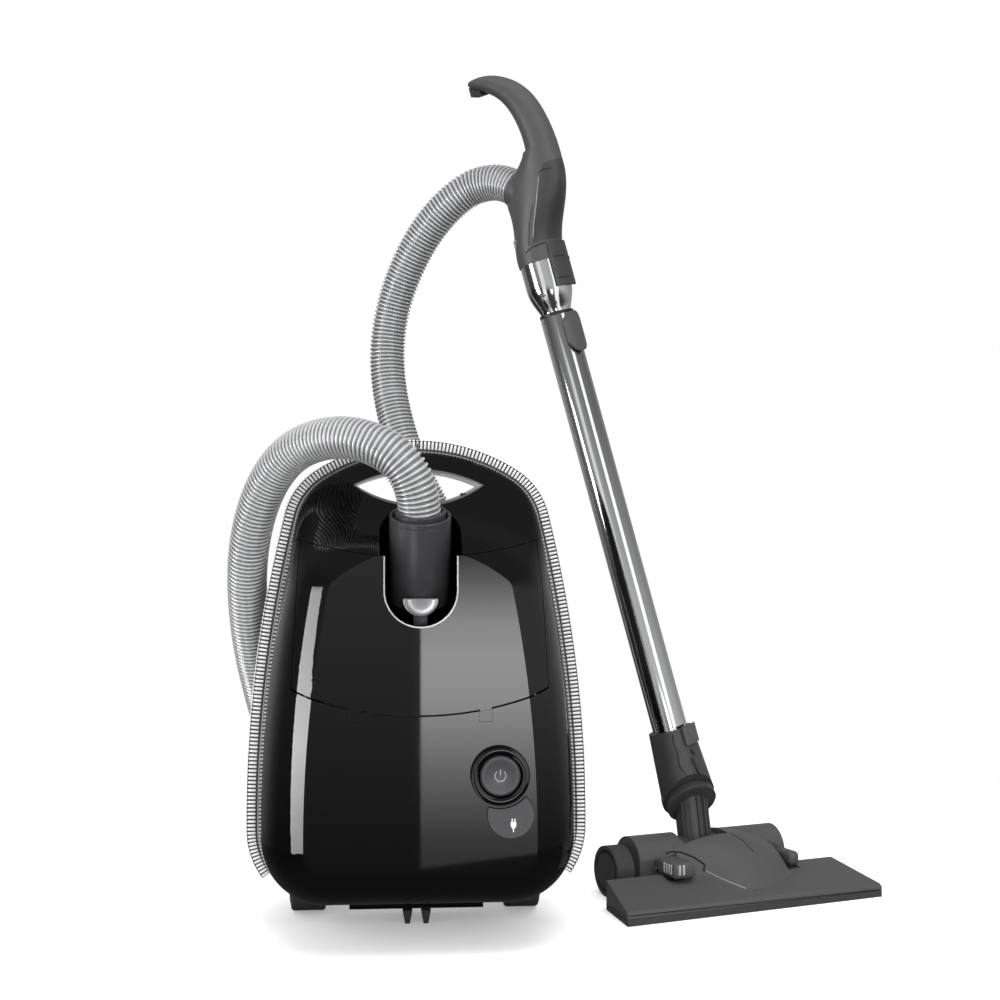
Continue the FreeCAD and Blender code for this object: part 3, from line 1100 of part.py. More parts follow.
def hose_solid(points, name):
    edges = hose_route(points, name)
    length = sum(e.Length for e in edges)
    ribs = max(1, round(length / RIB_PITCH))
    pitch = length / ribs
    profile = [(0.0, HOSE_R - RIB_DEPTH), (0.3, HOSE_R), (0.7, HOSE_R), (1.0, HOSE_R - RIB_DEPTH)]
    stations = [((number + share) * pitch, radius) for number in range(ribs) for share, radius in profile]

    def place(distance):
        for edge in edges:
            if distance <= edge.Length + 1e-6:
                parameter = edge.getParameterByLength(max(0.0, min(distance, edge.Length)))
                return edge.valueAt(parameter), edge.tangentAt(parameter)
            distance -= edge.Length
        return edges[-1].valueAt(edges[-1].LastParameter), edges[-1].tangentAt(edges[-1].LastParameter)

    x_axis = None
    outer, inner = [], []
    last = -1.0
    for distance, radius in stations:
        if distance - last < 1e-6:
            distance += 0.02 * pitch
        last = distance
        centre, tangent = place(distance)
        x_axis = V(0.3, 1, 0.1) if x_axis is None else x_axis
        x_axis = (x_axis - tangent * x_axis.dot(tangent)).normalize()
        ring = Part.Circle(centre, tangent, radius)
        ring.XAxis = x_axis
        outer.append(Part.Wire(ring.toShape()))
        if len(outer) % 4 == 1 or len(outer) == len(stations):
            bore = Part.Circle(centre, tangent, HOSE_BORE_R)
            bore.XAxis = x_axis
            inner.append(Part.Wire(bore.toShape()))
    skin = Part.makeLoft(outer, False, True).Faces + Part.makeLoft(inner, False, True).Faces
    caps = []
    for ring, bore in ((outer[0], inner[0]), (outer[-1], inner[-1])):
        disc, hole = Part.Face(ring), Part.Face(bore)
        caps.append(disc.cut(hole).Faces[0])
    shell = Part.Shell(skin + caps)
    shell.sewShape()
    solid = Part.Solid(shell)
    if solid.Volume < 0:
        solid.reverse()
    plain = math.pi * ((HOSE_R - RIB_DEPTH * 0.3) ** 2 - HOSE_BORE_R**2) * length
    volumes = "volume %d of a plain tube %d" % (solid.Volume, plain)
    print(name, "ribs", ribs, volumes, "valid", solid.isValid())
    return solid


def main():
    os.makedirs("parts", exist_ok=True)
    make_body()
    make_connector()
    make_controls()
    make_wheels()
    make_inside()
    own = dict(NODES)
    NODES.clear()
    make_head()
    for name, shape in NODES.items():
        own[name] = moved(shape, head_placement())
    NODES.clear()
    wand = wand_placement()
    turn_back = wand.Rotation.inverted().multiply(head_placement().Rotation)
    make_elbow(turn_back.multVec(swivel_axis()))
    make_wand()
    make_handle()
    for name, shape in NODES.items():
        own[name] = moved(shape, wand)
    mouth, out = V(*SOCKET_MOUTH), V(*SOCKET_OUT).normalize()
    inside, outside = wand.multVec(mouth - out * CUFF_INSERT), wand.multVec(mouth + out * CUFF_EXIT)
    start = [connector_axis(-HOSE_INSERT), connector_axis(HOSE_EXIT)]
    front = start + [V(*p) for p in HOSE_FRONT] + [HOSE_SPLIT]
    back = [HOSE_SPLIT] + [V(*p) for p in HOSE_BACK] + [outside, inside]
    own["hose_front"] = hose_solid(front, "hose_front")
    own["hose_back"] = hose_solid(back, "hose_back")
    shift = FreeCAD.Placement(SET_CENTRE * -1, FreeCAD.Rotation())
    for name, shape in own.items():
        shape = moved(shape, shift)
        shape.exportStep("parts/%s.step" % name)
        facts = (name, len(shape.Solids), shape.Volume, shape.isValid())
        print("%-16s solids %2d  volume %9.0f  valid %s" % facts)


main()
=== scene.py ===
import json
import math

import bmesh
import bpy
from mathutils import Euler, Matrix, Vector
from mathutils.bvhtree import BVHTree


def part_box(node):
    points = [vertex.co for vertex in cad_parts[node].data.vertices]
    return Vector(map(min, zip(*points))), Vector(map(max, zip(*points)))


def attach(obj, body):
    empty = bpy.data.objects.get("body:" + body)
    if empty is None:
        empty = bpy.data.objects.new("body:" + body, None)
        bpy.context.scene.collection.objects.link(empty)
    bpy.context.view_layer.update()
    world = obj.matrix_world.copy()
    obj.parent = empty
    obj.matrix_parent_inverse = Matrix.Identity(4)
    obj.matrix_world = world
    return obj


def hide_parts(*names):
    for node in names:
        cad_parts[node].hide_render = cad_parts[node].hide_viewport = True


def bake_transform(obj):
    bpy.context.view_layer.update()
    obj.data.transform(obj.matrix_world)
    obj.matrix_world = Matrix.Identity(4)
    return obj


# A cylinder vacuum cleaner parked on its rear end, with its hose, wand and floor head.
# Metres, +Z up. The cleaner's lid faces -Y and the floor head stands to its right.

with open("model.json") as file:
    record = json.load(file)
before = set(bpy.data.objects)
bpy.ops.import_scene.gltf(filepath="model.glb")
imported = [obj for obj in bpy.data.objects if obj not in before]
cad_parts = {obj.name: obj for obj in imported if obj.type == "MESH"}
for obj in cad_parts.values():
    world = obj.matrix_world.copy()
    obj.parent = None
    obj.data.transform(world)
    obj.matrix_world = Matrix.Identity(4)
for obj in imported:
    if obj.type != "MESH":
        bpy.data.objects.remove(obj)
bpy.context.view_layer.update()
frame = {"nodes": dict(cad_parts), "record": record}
NODES = frame["nodes"]
MM = 0.001

# Where the cleaner's middle plane, the belt's plane and the floor cross, in millimetres
CLEANER_X, CLEANER_Y = -152.4, -35.7
CLEANER = Vector((CLEANER_X * MM, CLEANER_Y * MM, 0.0))
# The floor head's frame: x along the head, y = 0 at its front edge
HEAD = Matrix.Translation((0.1673, -0.0095, 0.0)) @ Matrix.Rotation(math.radians(20.0), 4, "Z")
# The wand's frame: z along the wand from the swivel's centre, x towards the clips
WAND = Matrix(
    (
        (0.640360, 0.722906, -0.259513, 0.1266),
        (-0.740033, 0.671160, 0.043536, 0.1023),
        (0.205647, 0.164169, 0.964758, 0.0900),
        (0.0, 0.0, 0.0, 1.0),
    )
)

# Hose: radius at its crests, depth of its grooves, pitch of its ribs and sides of its section
HOSE_RADIUS = 0.0185
HOSE_GROOVE = 0.0021
HOSE_RIB = 0.0042
HOSE_SIDES = 30
# The place of the route where the two CAD stretches meet
HOSE_SPLIT = 17
# Its route in millimetres, seen from the cleaner: from the connector to the handle's socket
HOSE_PLACES = [
    (0, -93.2, 358.2), (0, -101, 379.8), (-5, -108, 404), (-18, -110, 424), (-38, -104, 437),
    (-63, -89, 444), (-90, -67, 442), (-114, -45, 431), (-133, -24, 409), (-147, -4, 378),
    (-156, 20, 338), (-158, 49, 293), (-155, 81, 247), (-147, 112, 200), (-134, 141, 145),
    (-112, 163, 90), (-72, 180, 47), (-40, 185.5, 36.5), (-8, 191, 26), (40, 199, 29),
    (90, 206, 52), (126, 211, 98), (139, 214, 151), (130, 215, 207), (103, 215, 260),
    (70, 213, 311), (35, 217, 361), (7, 223, 410), (-12, 233, 459), (-23, 245, 506),
    (-26, 251, 553), (-19, 248, 600), (-3, 236, 643), (18, 221, 679), (44, 206, 706),
    (69, 197, 721), (98.3, 178.6, 719.8), (117.2, 162.4, 703.1),
]
HOSE_ROUTE = [((CLEANER_X + x) * MM, (CLEANER_Y + y) * MM, z * MM) for x, y, z in HOSE_PLACES]


def linear(colour):
    """A hex sRGB colour as linear red, green, blue and full cover."""
    channels = [int(colour[i : i + 2], 16) / 255 for i in (1, 3, 5)]
    return [c / 12.92 if c <= 0.04045 else ((c + 0.055) / 1.055) ** 2.4 for c in channels] + [1.0]


def put(tree, kind, inputs=(), **settings):
    """Adds a node; an input is a value, or a socket to link from."""
    node = tree.nodes.new(kind)
    for name, value in settings.items():
        setattr(node, name, value)
    for name, value in dict(inputs).items():
        socket = node.inputs[name]
        if isinstance(value, bpy.types.NodeSocket):
            tree.links.new(value, socket)
        else:
            socket.default_value = value
    return node


# Clouds of uneven roughness and colour per metre
CLOUD_SCALE = 22.0


def finish(name, colour, roughness, grain_mm=0.0, grain_depth_mm=0.0, haze=0.0, tint=0.0, **sockets):
    """A surface with its own grain, uneven roughness (haze) and uneven colour (tint)."""
    material = bpy.data.materials.new(name)
    material.use_nodes = True
    tree = material.node_tree
    shader = tree.nodes["Principled BSDF"]
    shader.inputs["Base Color"].default_value = linear(colour)
    shader.inputs["Roughness"].default_value = roughness
    for socket, value in sockets.items():
        shader.inputs[socket.replace("_", " ")].default_value = value
    place = put(tree, "ShaderNodeTexCoord").outputs["Object"]
    clouds = put(
        tree,
        "ShaderNodeTexNoise",
        {"Vector": place, "Scale": CLOUD_SCALE, "Detail": 4.0, "Roughness": 0.6},
    )
    if tint:
        r, g, b, a = linear(colour)
        dark, light = [[c * k for c in (r, g, b)] + [a] for k in (1.0 - tint, 1.0 + tint)]
        colours = {"Factor": clouds.outputs["Fac"], "A": dark, "B": light}
        blend = put(tree, "ShaderNodeMix", colours, data_type="RGBA")
        tree.links.new(blend.outputs["Result"], shader.inputs["Base Color"])
    if haze:
        spread = put(
            tree,
            "ShaderNodeMapRange",
            {
                "Value": clouds.outputs["Fac"],
                "From Min": 0.3,
                "From Max": 0.7,
                "To Min": roughness - haze,
                "To Max": roughness + haze,
            },
        )
        tree.links.new(spread.outputs["Result"], shader.inputs["Roughness"])
    if grain_mm:
        grain = put(
            tree,
            "ShaderNodeTexNoise",
            {"Vector": place, "Scale": 1.0 / (grain_mm * MM), "Detail": 2.0, "Roughness": 0.5},
        )
        relief = put(
            tree,
            "ShaderNodeBump",
            {"Height": grain.outputs["Fac"], "Strength": 1.0, "Distance": grain_depth_mm * MM},
        )
        tree.links.new(relief.outputs["Normal"], shader.inputs["Normal"])
    return material


# Pointiness of a groove and of a crest, between which the painted shade of the grooves fades out
IN_GROOVE, ON_CREST = 0.44, 0.54


def paint_groove_shade(material, groove, crest):
    """Paints shade into the hollows of a ribbed surface: its colour goes by pointiness from dark in the
    grooves to pale on the crests.
    """
    tree = material.node_tree
    edge = put(tree, "ShaderNodeNewGeometry").outputs["Pointiness"]
    rise = put(tree, "ShaderNodeMapRange", {"Value": edge, "From Min": IN_GROOVE, "From Max": ON_CREST})
    colours = {"Factor": rise.outputs["Result"], "A": linear(groove), "B": linear(crest)}
    shaded_colour = put(tree, "ShaderNodeMix", colours, data_type="RGBA")
    tree.links.new(shaded_colour.outputs["Result"], tree.nodes["Principled BSDF"].inputs["Base Color"])


# Polished black ABS: mirror-like, with the faint long waves of a moulded skin
gloss_abs = finish("gloss_black_abs", "#050506", 0.025, 18.0, 0.002, haze=0.006, IOR=1.5)
# Spark-eroded dark grey ABS: fine even grain that breaks highlights into a soft sheen
grained_abs = finish("spark_grained_grey_abs", "#464647", 0.42, 0.9, 0.045, haze=0.05, tint=0.05)
# The same plastic in near black, for the parts that only frame the others, and for the dark beads of
# painted shade in seams and slots
black_abs = finish("grained_black_abs", "#1c1c1d", 0.38, 0.9, 0.04, haze=0.05, tint=0.05)
# Soft grey TPE of the bumper: matt, slightly uneven, with a bloom on its crests
bumper_tpe = finish("pale_grey_tpe", "#e4e4e2", 0.6, 0.7, 0.03, haze=0.06, tint=0.05)
# Smooth mid-grey ABS of the rim inside the bumper: a soft line of light along it; also the pale bead of a
# painted highlight along the floor head's crease
rim_abs = finish("smooth_grey_abs", "#a2a3a4", 0.3, 1.2, 0.02, haze=0.04, tint=0.03)
# Chromed trim: sharp reflections
chromed_abs = finish("chromed_abs", "#dedfe0", 0.08, haze=0.02, Metallic=1.0)
# Drawn and chromed steel tube: polished, with draw lines too fine to part
chromed_steel = finish("chromed_steel", "#d2d3d4", 0.1, haze=0.02, Metallic=1.0)
# EVA hose with silver pigment: a satin metallic sheen on each rib, and painted shade that darkens the
# grooves between them
silver_eva = finish("silver_eva", "#b9babb", 0.26, 1.5, 0.03, haze=0.04, Metallic=0.5)
# Painted shade: the hose's colour is dark in its grooves and pale on its crests
paint_groove_shade(silver_eva, "#2c2c2e", "#d4d5d6")
# Rubber of tyres and seals: matt, the tyres greyer
tyre_rubber = finish("tyre_rubber", "#333334", 0.65, 0.8, 0.05, haze=0.06, tint=0.06)
seal_rubber = finish("seal_rubber", "#1f1f20", 0.6, 0.8, 0.04, haze=0.05, tint=0.05)
# Steel, copper and aluminium inside, and the satin chrome of the connector's trim
turned_steel = finish("turned_steel", "#b9babb", 0.28, 0.3, 0.01, haze=0.06, Metallic=1.0)
copper_winding = finish("enamelled_copper", "#b5703a", 0.35, 0.6, 0.08, haze=0.06, tint=0.15, Metallic=1.0)
cast_aluminium = finish("cast_aluminium", "#b4b6b8", 0.4, 0.8, 0.03, haze=0.06, Metallic=1.0)
# Fleece, paper and laminate of what shows when the lid is open: matt and uneven
filter_fleece = finish("filter_fleece", "#dcdbd4", 0.9, 0.5, 0.2, tint=0.08)
bag_paper = finish("bag_paper", "#b9a27c", 0.85, 1.6, 0.15, tint=0.1)
board_laminate = finish("board_laminate", "#1f5a33", 0.4, 3.0, 0.03, haze=0.08, tint=0.12)
# Nylon bristles of the brush strips: dark and rough
brush_bristle = finish("brush_bristle", "#2b2b2c", 0.7, 0.4, 0.3, tint=0.2)
# Painted shade: a dark band between the fins, standing for the shade in the gaps that parts them
gap_shade_band = finish("gap_shade_tpe", "#2e2e2f", 0.6, 0.7, 0.03, haze=0.06, tint=0.05)
# Satin dark grey ABS of the buttons: soft highlights on rounded rims
satin_abs = finish("satin_grey_abs", "#39393b", 0.3, 1.0, 0.01, haze=0.04, tint=0.04)
# Brightly lacquered button: smooth and pale, almost like metal; also the bright bead of a painted
# highlight along the handle's seam
lacquered_abs = finish("lacquered_silver_abs", "#a4a5a6", 0.22, 1.0, 0.01, haze=0.04, Metallic=0.6)
# Pad-printed marks: flat and slightly rough ink
pale_ink = finish("pad_print_ink", "#e2e2e1", 0.55, 0.3, 0.01, tint=0.02)
grey_ink = finish("grey_pad_print_ink", "#9a9a9a", 0.55, 0.3, 0.01, tint=0.02)
# The grained grey ABS made darker as painted shade, for the handle's right shell and the clips, and for
# the neck and the sole
shaded_grey_abs = finish("spark_grained_dark_abs", "#353536", 0.4, 0.9, 0.045, haze=0.05, tint=0.05)

FINISHES = {
    "gloss_black": gloss_abs,
    "moulded_grey": grained_abs,
    "moulded_black": black_abs,
    "bumper_grey": bumper_tpe,
    "rim_grey": rim_abs,
    "bright_trim": chromed_abs,
    "steel_tube": chromed_steel,
    "hose_silver": silver_eva,
    "tyre": tyre_rubber,
    "seal": seal_rubber,
    "pin_steel": turned_steel,
    "winding_copper": copper_winding,
    "fan_aluminium": cast_aluminium,
    "filter_white": filter_fleece,
    "bag_paper": bag_paper,
    "board_green": board_laminate,
    "bristle": brush_bristle,
}
# Nodes whose surface differs from the rest of their slot
OWN_FINISHES = {
    "rewind_button": satin_abs,
    # Painted shade: these parts take the darker copy of the grained grey ABS
    "handle_cover": shaded_grey_abs,
    "handle_clip": shaded_grey_abs,
    "neck_base": shaded_grey_abs,
    "neck_elbow": shaded_grey_abs,
    "head_sole": shaded_grey_abs,
    "port_trim": turned_steel,
    "tip_insert": black_abs,
}
for part in frame["record"]["subparts"]:
    node = NODES[part["node"]]
    node.data.materials.clear()
    node.data.materials.append(OWN_FINISHES.get(part["node"]) or FINISHES[part["material_slot"]])


def clear_selection():
    bpy.ops.object.select_all(action="DESELECT")


def keep(piece, material, slot, body, *stands_for):
    """Gives a finished piece its surface and its body, and hides the nodes that it stands for. The slot is
    not used.
    """
    piece.data.materials.clear()
    piece.data.materials.append(material)
    if body:
        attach(piece, body)
    if stands_for:
        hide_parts(*stands_for)


def new_piece(name, points, faces):
    mesh = bpy.data.meshes.new(name)
    mesh.from_pydata([tuple(p) for p in points], [], faces)
    mesh.validate()
    piece = bpy.data.objects.new(name, mesh)
    bpy.context.scene.collection.objects.link(piece)
    return piece


def joined(name, parts):
    """Several pieces as one, with its place in its mesh."""
    clear_selection()
    for part in parts:
        part.select_set(True)
    bpy.context.view_layer.objects.active = parts[0]
    bpy.ops.object.join()
    bpy.ops.object.transform_apply(location=True, rotation=True, scale=True)
    whole = bpy.context.object
    whole.name = name
    whole.data.name = name
    clear_selection()
    return whole


# Hose

def hose_line():
    """The hose's centreline, read from its NURBS spline."""
    curve = bpy.data.curves.new("hose_route", "CURVE")
    curve.dimensions = "3D"
    curve.resolution_u = 16
    spline = curve.splines.new("NURBS")
    spline.points.add(len(HOSE_ROUTE) - 1)
    for point, place in zip(spline.points, HOSE_ROUTE):
        point.co = (*place, 1.0)
    spline.order_u = 3
    spline.use_endpoint_u = True
    guide = bpy.data.objects.new("hose_route", curve)
    bpy.context.scene.collection.objects.link(guide)
    line = bpy.data.meshes.new_from_object(guide)
    points = [vertex.co.copy() for vertex in line.vertices]
    bpy.data.objects.remove(guide)
    bpy.data.meshes.remove(line)
    return points


def measured(points):
    """The distance of each point along its line."""
    distances = [0.0]
    for before, after in zip(points, points[1:]):
        distances.append(distances[-1] + (after - before).length)
    return distances


def along(points, distances, distance):
    """The place at a distance along a line."""
    index = 1
    while index < len(distances) - 1 and distances[index] < distance:
        index += 1
    before, after = points[index - 1], points[index]
    share = (distance - distances[index - 1]) / max(1e-9, distances[index] - distances[index - 1])
    return before.lerp(after, share)


hose_points = hose_line()
hose_distances = measured(hose_points)
hose_length = hose_distances[-1]

# One rib: share of the pitch, and depth below the crest
RIB_SHAPE = [(0.0, 1.0), (0.20, 1.0), (0.32, 0.3), (0.45, 0.0), (0.62, 0.0), (0.75, 0.3), (0.87, 1.0)]


def ribbed_hose(name, start, end):
    """One stretch of the hose, with its ribs, and the points that it follows."""
    count = round((end - start) / HOSE_RIB)
    pitch = (end - start) / count
    stations = []
    for rib in range(count):
        stations += [(start + (rib + share) * pitch, depth) for share, depth in RIB_SHAPE]
    stations.append((end, 1.0))
    points, faces, path = [], [], []
    side = Vector((0.3, 1.0, 0.1))
    for distance, depth in stations:
        place = along(hose_points, hose_distances, distance)
        ahead = along(hose_points, hose_distances, min(hose_length, distance + MM))
        behind = along(hose_points, hose_distances, max(0.0, distance - MM))
        way = (ahead - behind).normalized()
        side = (side - way * side.dot(way)).normalized()
        other = way.cross(side)
        radius = HOSE_RADIUS - HOSE_GROOVE * depth
        path.append(place)
        for number in range(HOSE_SIDES):
            angle = 2 * math.pi * number / HOSE_SIDES
            points.append(place + side * (radius * math.cos(angle)) + other * (radius * math.sin(angle)))
    rings = len(stations)
    for ring in range(rings - 1):
        for number in range(HOSE_SIDES):
            a, b = ring * HOSE_SIDES + number, ring * HOSE_SIDES + (number + 1) % HOSE_SIDES
            faces.append((a, b, b + HOSE_SIDES, a + HOSE_SIDES))
    faces.append(tuple(reversed(range(HOSE_SIDES))))
    faces.append(tuple(range((rings - 1) * HOSE_SIDES, rings * HOSE_SIDES)))
    piece = new_piece(name, points, faces)
    piece.data.shade_smooth()
    keep(piece, silver_eva, "hose_silver", None)
    return piece, path


def place_hose():
    meeting = Vector(HOSE_ROUTE[HOSE_SPLIT])
    split = min(range(len(hose_points)), key=lambda i: (hose_points[i] - meeting).length)
    first = hose_distances[split]
    third = (hose_length - first) / 3
    cuts = [0.0, first, first + third, first + 2 * third, hose_length]
    names = ["hose_at_lid", "hose_behind", "hose_rising", "hose_at_handle"]
    bodies = [("lid", "cleaner"), ("cleaner", "neck"), ("neck", "wand"), ("wand", "handle")]
    nodes = ["hose_front", "hose_back", "hose_back", "hose_back"]
    for name, (a, b), start, end, stood_for in zip(names, bodies, cuts, cuts[1:], nodes):
        piece, path = ribbed_hose(name, start, end)
        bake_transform(piece)
        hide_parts(stood_for)


place_hose()

# Bumper belt

# The cleaner's outline in millimetres, as arcs: side, top, corner and foot
HALF_WIDTH, BODY_HEIGHT, WIDEST_Z, UNDERSIDE_Z = 155.0, 445.0, 100.0, 17.0
SIDE_RADIUS, TOP_RADIUS, CORNER_RADIUS, FOOT_RADIUS = 1143.0, 170.0, 66.0, 75.0
BELT_END_Z = 48.0
BELT_WIDTH = 26.0
# Fins: their pitch, thickness and depth, the rounding of their ends and of their edges
FIN_PITCH = 3.55
FIN_THICK = 2.1
FIN_DEPTH = 9.0
FIN_ROUND = 3.5
FIN_EDGE = 0.5
# Step of the band along the outline
BAND_STEP = 2.0
# Depths of the band's back and of its face, below the fins' tips
BELT_DEPTH = 11.0
BAND_BELOW = 1.2


def right_arcs():
    """Centre, radius and end angles of each arc, from the belt's low end on the right to the top."""
    side = Vector((HALF_WIDTH - SIDE_RADIUS, WIDEST_Z))
    top = Vector((0.0, BODY_HEIGHT - TOP_RADIUS))
    foot_z = UNDERSIDE_Z + FOOT_RADIUS
    inset = math.sqrt((SIDE_RADIUS - FOOT_RADIUS) ** 2 - (foot_z - WIDEST_Z) ** 2)
    foot = Vector((side.x + inset, foot_z))
    near, far = TOP_RADIUS - CORNER_RADIUS, SIDE_RADIUS - CORNER_RADIUS
    gap = top - side
    reach = (gap.length_squared + far**2 - near**2) / (2 * gap.length)
    unit = gap.normalized()
    corner = side + unit * reach + Vector((-unit.y, unit.x)) * math.sqrt(far**2 - reach**2)

    def bearing(a, b):
        return math.atan2(b.y - a.y, b.x - a.x)

    low, high, crown = bearing(side, foot), bearing(side, corner), bearing(top, corner)
    start = -math.asin((foot_z - BELT_END_Z) / FOOT_RADIUS)
    return [
        (foot, FOOT_RADIUS, start, low),
        (side, SIDE_RADIUS, low, high),
        (corner, CORNER_RADIUS, high, crown),
        (top, TOP_RADIUS, crown, math.pi / 2),
    ]


def belt_stations(pitch):
    """Evenly spaced places on the outline and their outward bearings, from right foot to left."""
    arcs = right_arcs()
    half = sum(radius * (end - start) for _, radius, start, end in arcs)
    count = int(half / pitch)
    step = half / (count + 0.5)
    places = []
    for number in range(count + 1):
        distance = (number + 0.5) * step
        for centre, radius, start, end in arcs:
            length = radius * (end - start)
            if distance <= length + 1e-6:
                break
            distance -= length
        angle = start + distance / radius
        places.append((centre + Vector((math.cos(angle), math.sin(angle))) * radius, angle))
    left = [(Vector((-place.x, place.y)), math.pi - angle) for place, angle in reversed(places)]
    return places + left


def foot_end(side):
    """The belt's low end on the right (1) or the left (-1), and its outward bearing."""
    centre, radius, start, _ = right_arcs()[0]
    place = centre + Vector((math.cos(start), math.sin(start))) * radius
    return (place, start) if side > 0 else (Vector((-place.x, place.y)), math.pi - start)


def make_belt():
    """Soft fins across the belt, standing on a smooth band whose dark colour is painted shade in the gaps
    between the fins.
    """
    clear_selection()
    bpy.ops.mesh.primitive_cube_add(size=1.0)
    fin = bpy.context.object
    fin.scale = (FIN_DEPTH * MM, BELT_WIDTH * MM, FIN_THICK * MM)
    fin.location = (-FIN_DEPTH * MM / 2, 0.0, 0.0)
    bpy.ops.object.transform_apply(location=True, rotation=False, scale=True)
    bpy.ops.object.mode_set(mode="EDIT")
    mesh = bmesh.from_edit_mesh(fin.data)
    for edge in mesh.edges:
        first, last = edge.verts
        edge.select = min(first.co.x, last.co.x) > -MM and abs(first.co.z - last.co.z) > MM
    bmesh.update_edit_mesh(fin.data)
    bpy.ops.mesh.select_mode(type="EDGE")
    bpy.ops.mesh.bevel(offset=FIN_ROUND * MM, segments=3, affect="EDGES")
    bpy.ops.mesh.select_all(action="SELECT")
    bpy.ops.mesh.bevel(offset=FIN_EDGE * MM, segments=2, affect="EDGES", harden_normals=False)
    bpy.ops.object.mode_set(mode="OBJECT")
    copies = []
    for place, angle in belt_stations(FIN_PITCH):
        copy = bpy.data.objects.new("belt_fin", fin.data.copy())
        spot = CLEANER + Vector((place.x, 0.0, place.y)) * MM
        copy.matrix_world = Matrix.Translation(spot) @ Matrix.Rotation(-angle, 4, "Y")
        bpy.context.scene.collection.objects.link(copy)
        copies.append(copy)
    bpy.data.objects.remove(fin)
    belt = joined("belt_fins", copies)
    belt.data.shade_smooth()
    keep(belt, bumper_tpe, "bumper_grey", "cleaner", "bumper_belt")

    points, faces = [], []
    stations = [foot_end(1)] + belt_stations(BAND_STEP) + [foot_end(-1)]
    inner, outer, half = BELT_DEPTH, BAND_BELOW, BELT_WIDTH / 2 - 0.5
    for place, angle in stations:
        out = Vector((math.cos(angle), math.sin(angle)))
        for depth, y in ((inner, -half), (outer, -half), (outer, half), (inner, half)):
            spot = place - out * depth
            points.append(CLEANER + Vector((spot.x, y, spot.y)) * MM)
    for ring in range(len(stations) - 1):
        for corner in range(4):
            a, b = ring * 4 + corner, ring * 4 + (corner + 1) % 4
            faces.append((a, a + 4, b + 4, b))
    faces.append((0, 1, 2, 3))
    last = (len(stations) - 1) * 4
    faces.append((last + 3, last + 2, last + 1, last))
    # The band's dark colour is painted shade: it fills the gaps just below the fins' tips
    band = new_piece("belt_band", points, faces)
    keep(band, gap_shade_band, "bumper_grey", "cleaner", "bumper_belt")


make_belt()

# Turned and small moulded pieces of the cleaner's front

# The hose connector's mouth and its tilt
MOUTH = CLEANER + Vector((0.0, -0.100, 0.377))
MOUTH_TILT = math.radians(20.0)
# The flat front face before the belt's plane, in millimetres
FRONT_FACE = 118.0
# Hinges of the lid in millimetres, the seam's height there and its slope
HINGE_X = 55.0
SEAM_Z = 205.0
SEAM_SLOPE = 0.19
# The release button's height, the steps of its rim and its stem's thickness in millimetres
RELEASE_Z = 0.305
RELEASE_STEPS = 64
STEM_THICK = 1.2
# The plug's place on the rewind button
PLUG_MARK = CLEANER + Vector((0.0783, 0.0, 0.1145))
# Edges sharper than this stay sharp; points closer than this become one
SMOOTH_TO = math.radians(35.0)
WELD = 0.000002
TURNED_STEPS = 96


def turned(name, profile, place, steps=TURNED_STEPS):
    """A piece spun from a profile of radii and heights in millimetres, and put in its place."""
    clear_selection()
    mesh = bpy.data.meshes.new(name)
    edges = [(i, i + 1) for i in range(len(profile) - 1)]
    if profile[0][0] > 0:
        edges.append((len(profile) - 1, 0))
    mesh.from_pydata([(radius * MM, 0.0, height * MM) for radius, height in profile], edges, [])
    piece = bpy.data.objects.new(name, mesh)
    bpy.context.scene.collection.objects.link(piece)
    bpy.context.view_layer.objects.active = piece
    piece.select_set(True)
    bpy.ops.object.mode_set(mode="EDIT")
    bpy.ops.mesh.select_all(action="SELECT")
    bpy.ops.mesh.spin(steps=steps, angle=2 * math.pi, center=(0.0, 0.0, 0.0), axis=(0.0, 0.0, 1.0))
    bpy.ops.mesh.select_all(action="SELECT")
    bpy.ops.mesh.remove_doubles(threshold=WELD)
    bpy.ops.mesh.normals_make_consistent(inside=False)
    bpy.ops.object.mode_set(mode="OBJECT")
    mesh.transform(place)
    bpy.ops.object.shade_smooth_by_angle(angle=SMOOTH_TO)
    clear_selection()
    return piece


def block(name, low, high, round_mm=0.0, place=None):
    """A block between two corners in millimetres, with rounded edges, put in its place."""
    clear_selection()
    low, high = Vector(low) * MM, Vector(high) * MM
    bpy.ops.mesh.primitive_cube_add(size=1.0, location=(low + high) / 2, scale=high - low)
    piece = bpy.context.object
    bpy.ops.object.transform_apply(location=True, rotation=True, scale=True)
    if round_mm:
        bpy.ops.object.mode_set(mode="EDIT")
        bpy.ops.mesh.select_all(action="SELECT")
        bpy.ops.mesh.bevel(offset=round_mm * MM, segments=3, affect="EDGES")
        bpy.ops.object.mode_set(mode="OBJECT")
    if place is not None:
        piece.data.transform(place)
    bpy.ops.object.shade_smooth_by_angle(angle=SMOOTH_TO)
    piece.name = name
    piece.data.name = name
    clear_selection()
    return piece


def facing_front(place):
    """Turns a piece's height axis towards the viewer of the front, at a place."""
    return Matrix.Translation(place) @ Matrix.Rotation(math.radians(90.0), 4, "X")


# Half the gap of the power mark's ring
MARK_GAP = math.radians(32.0)


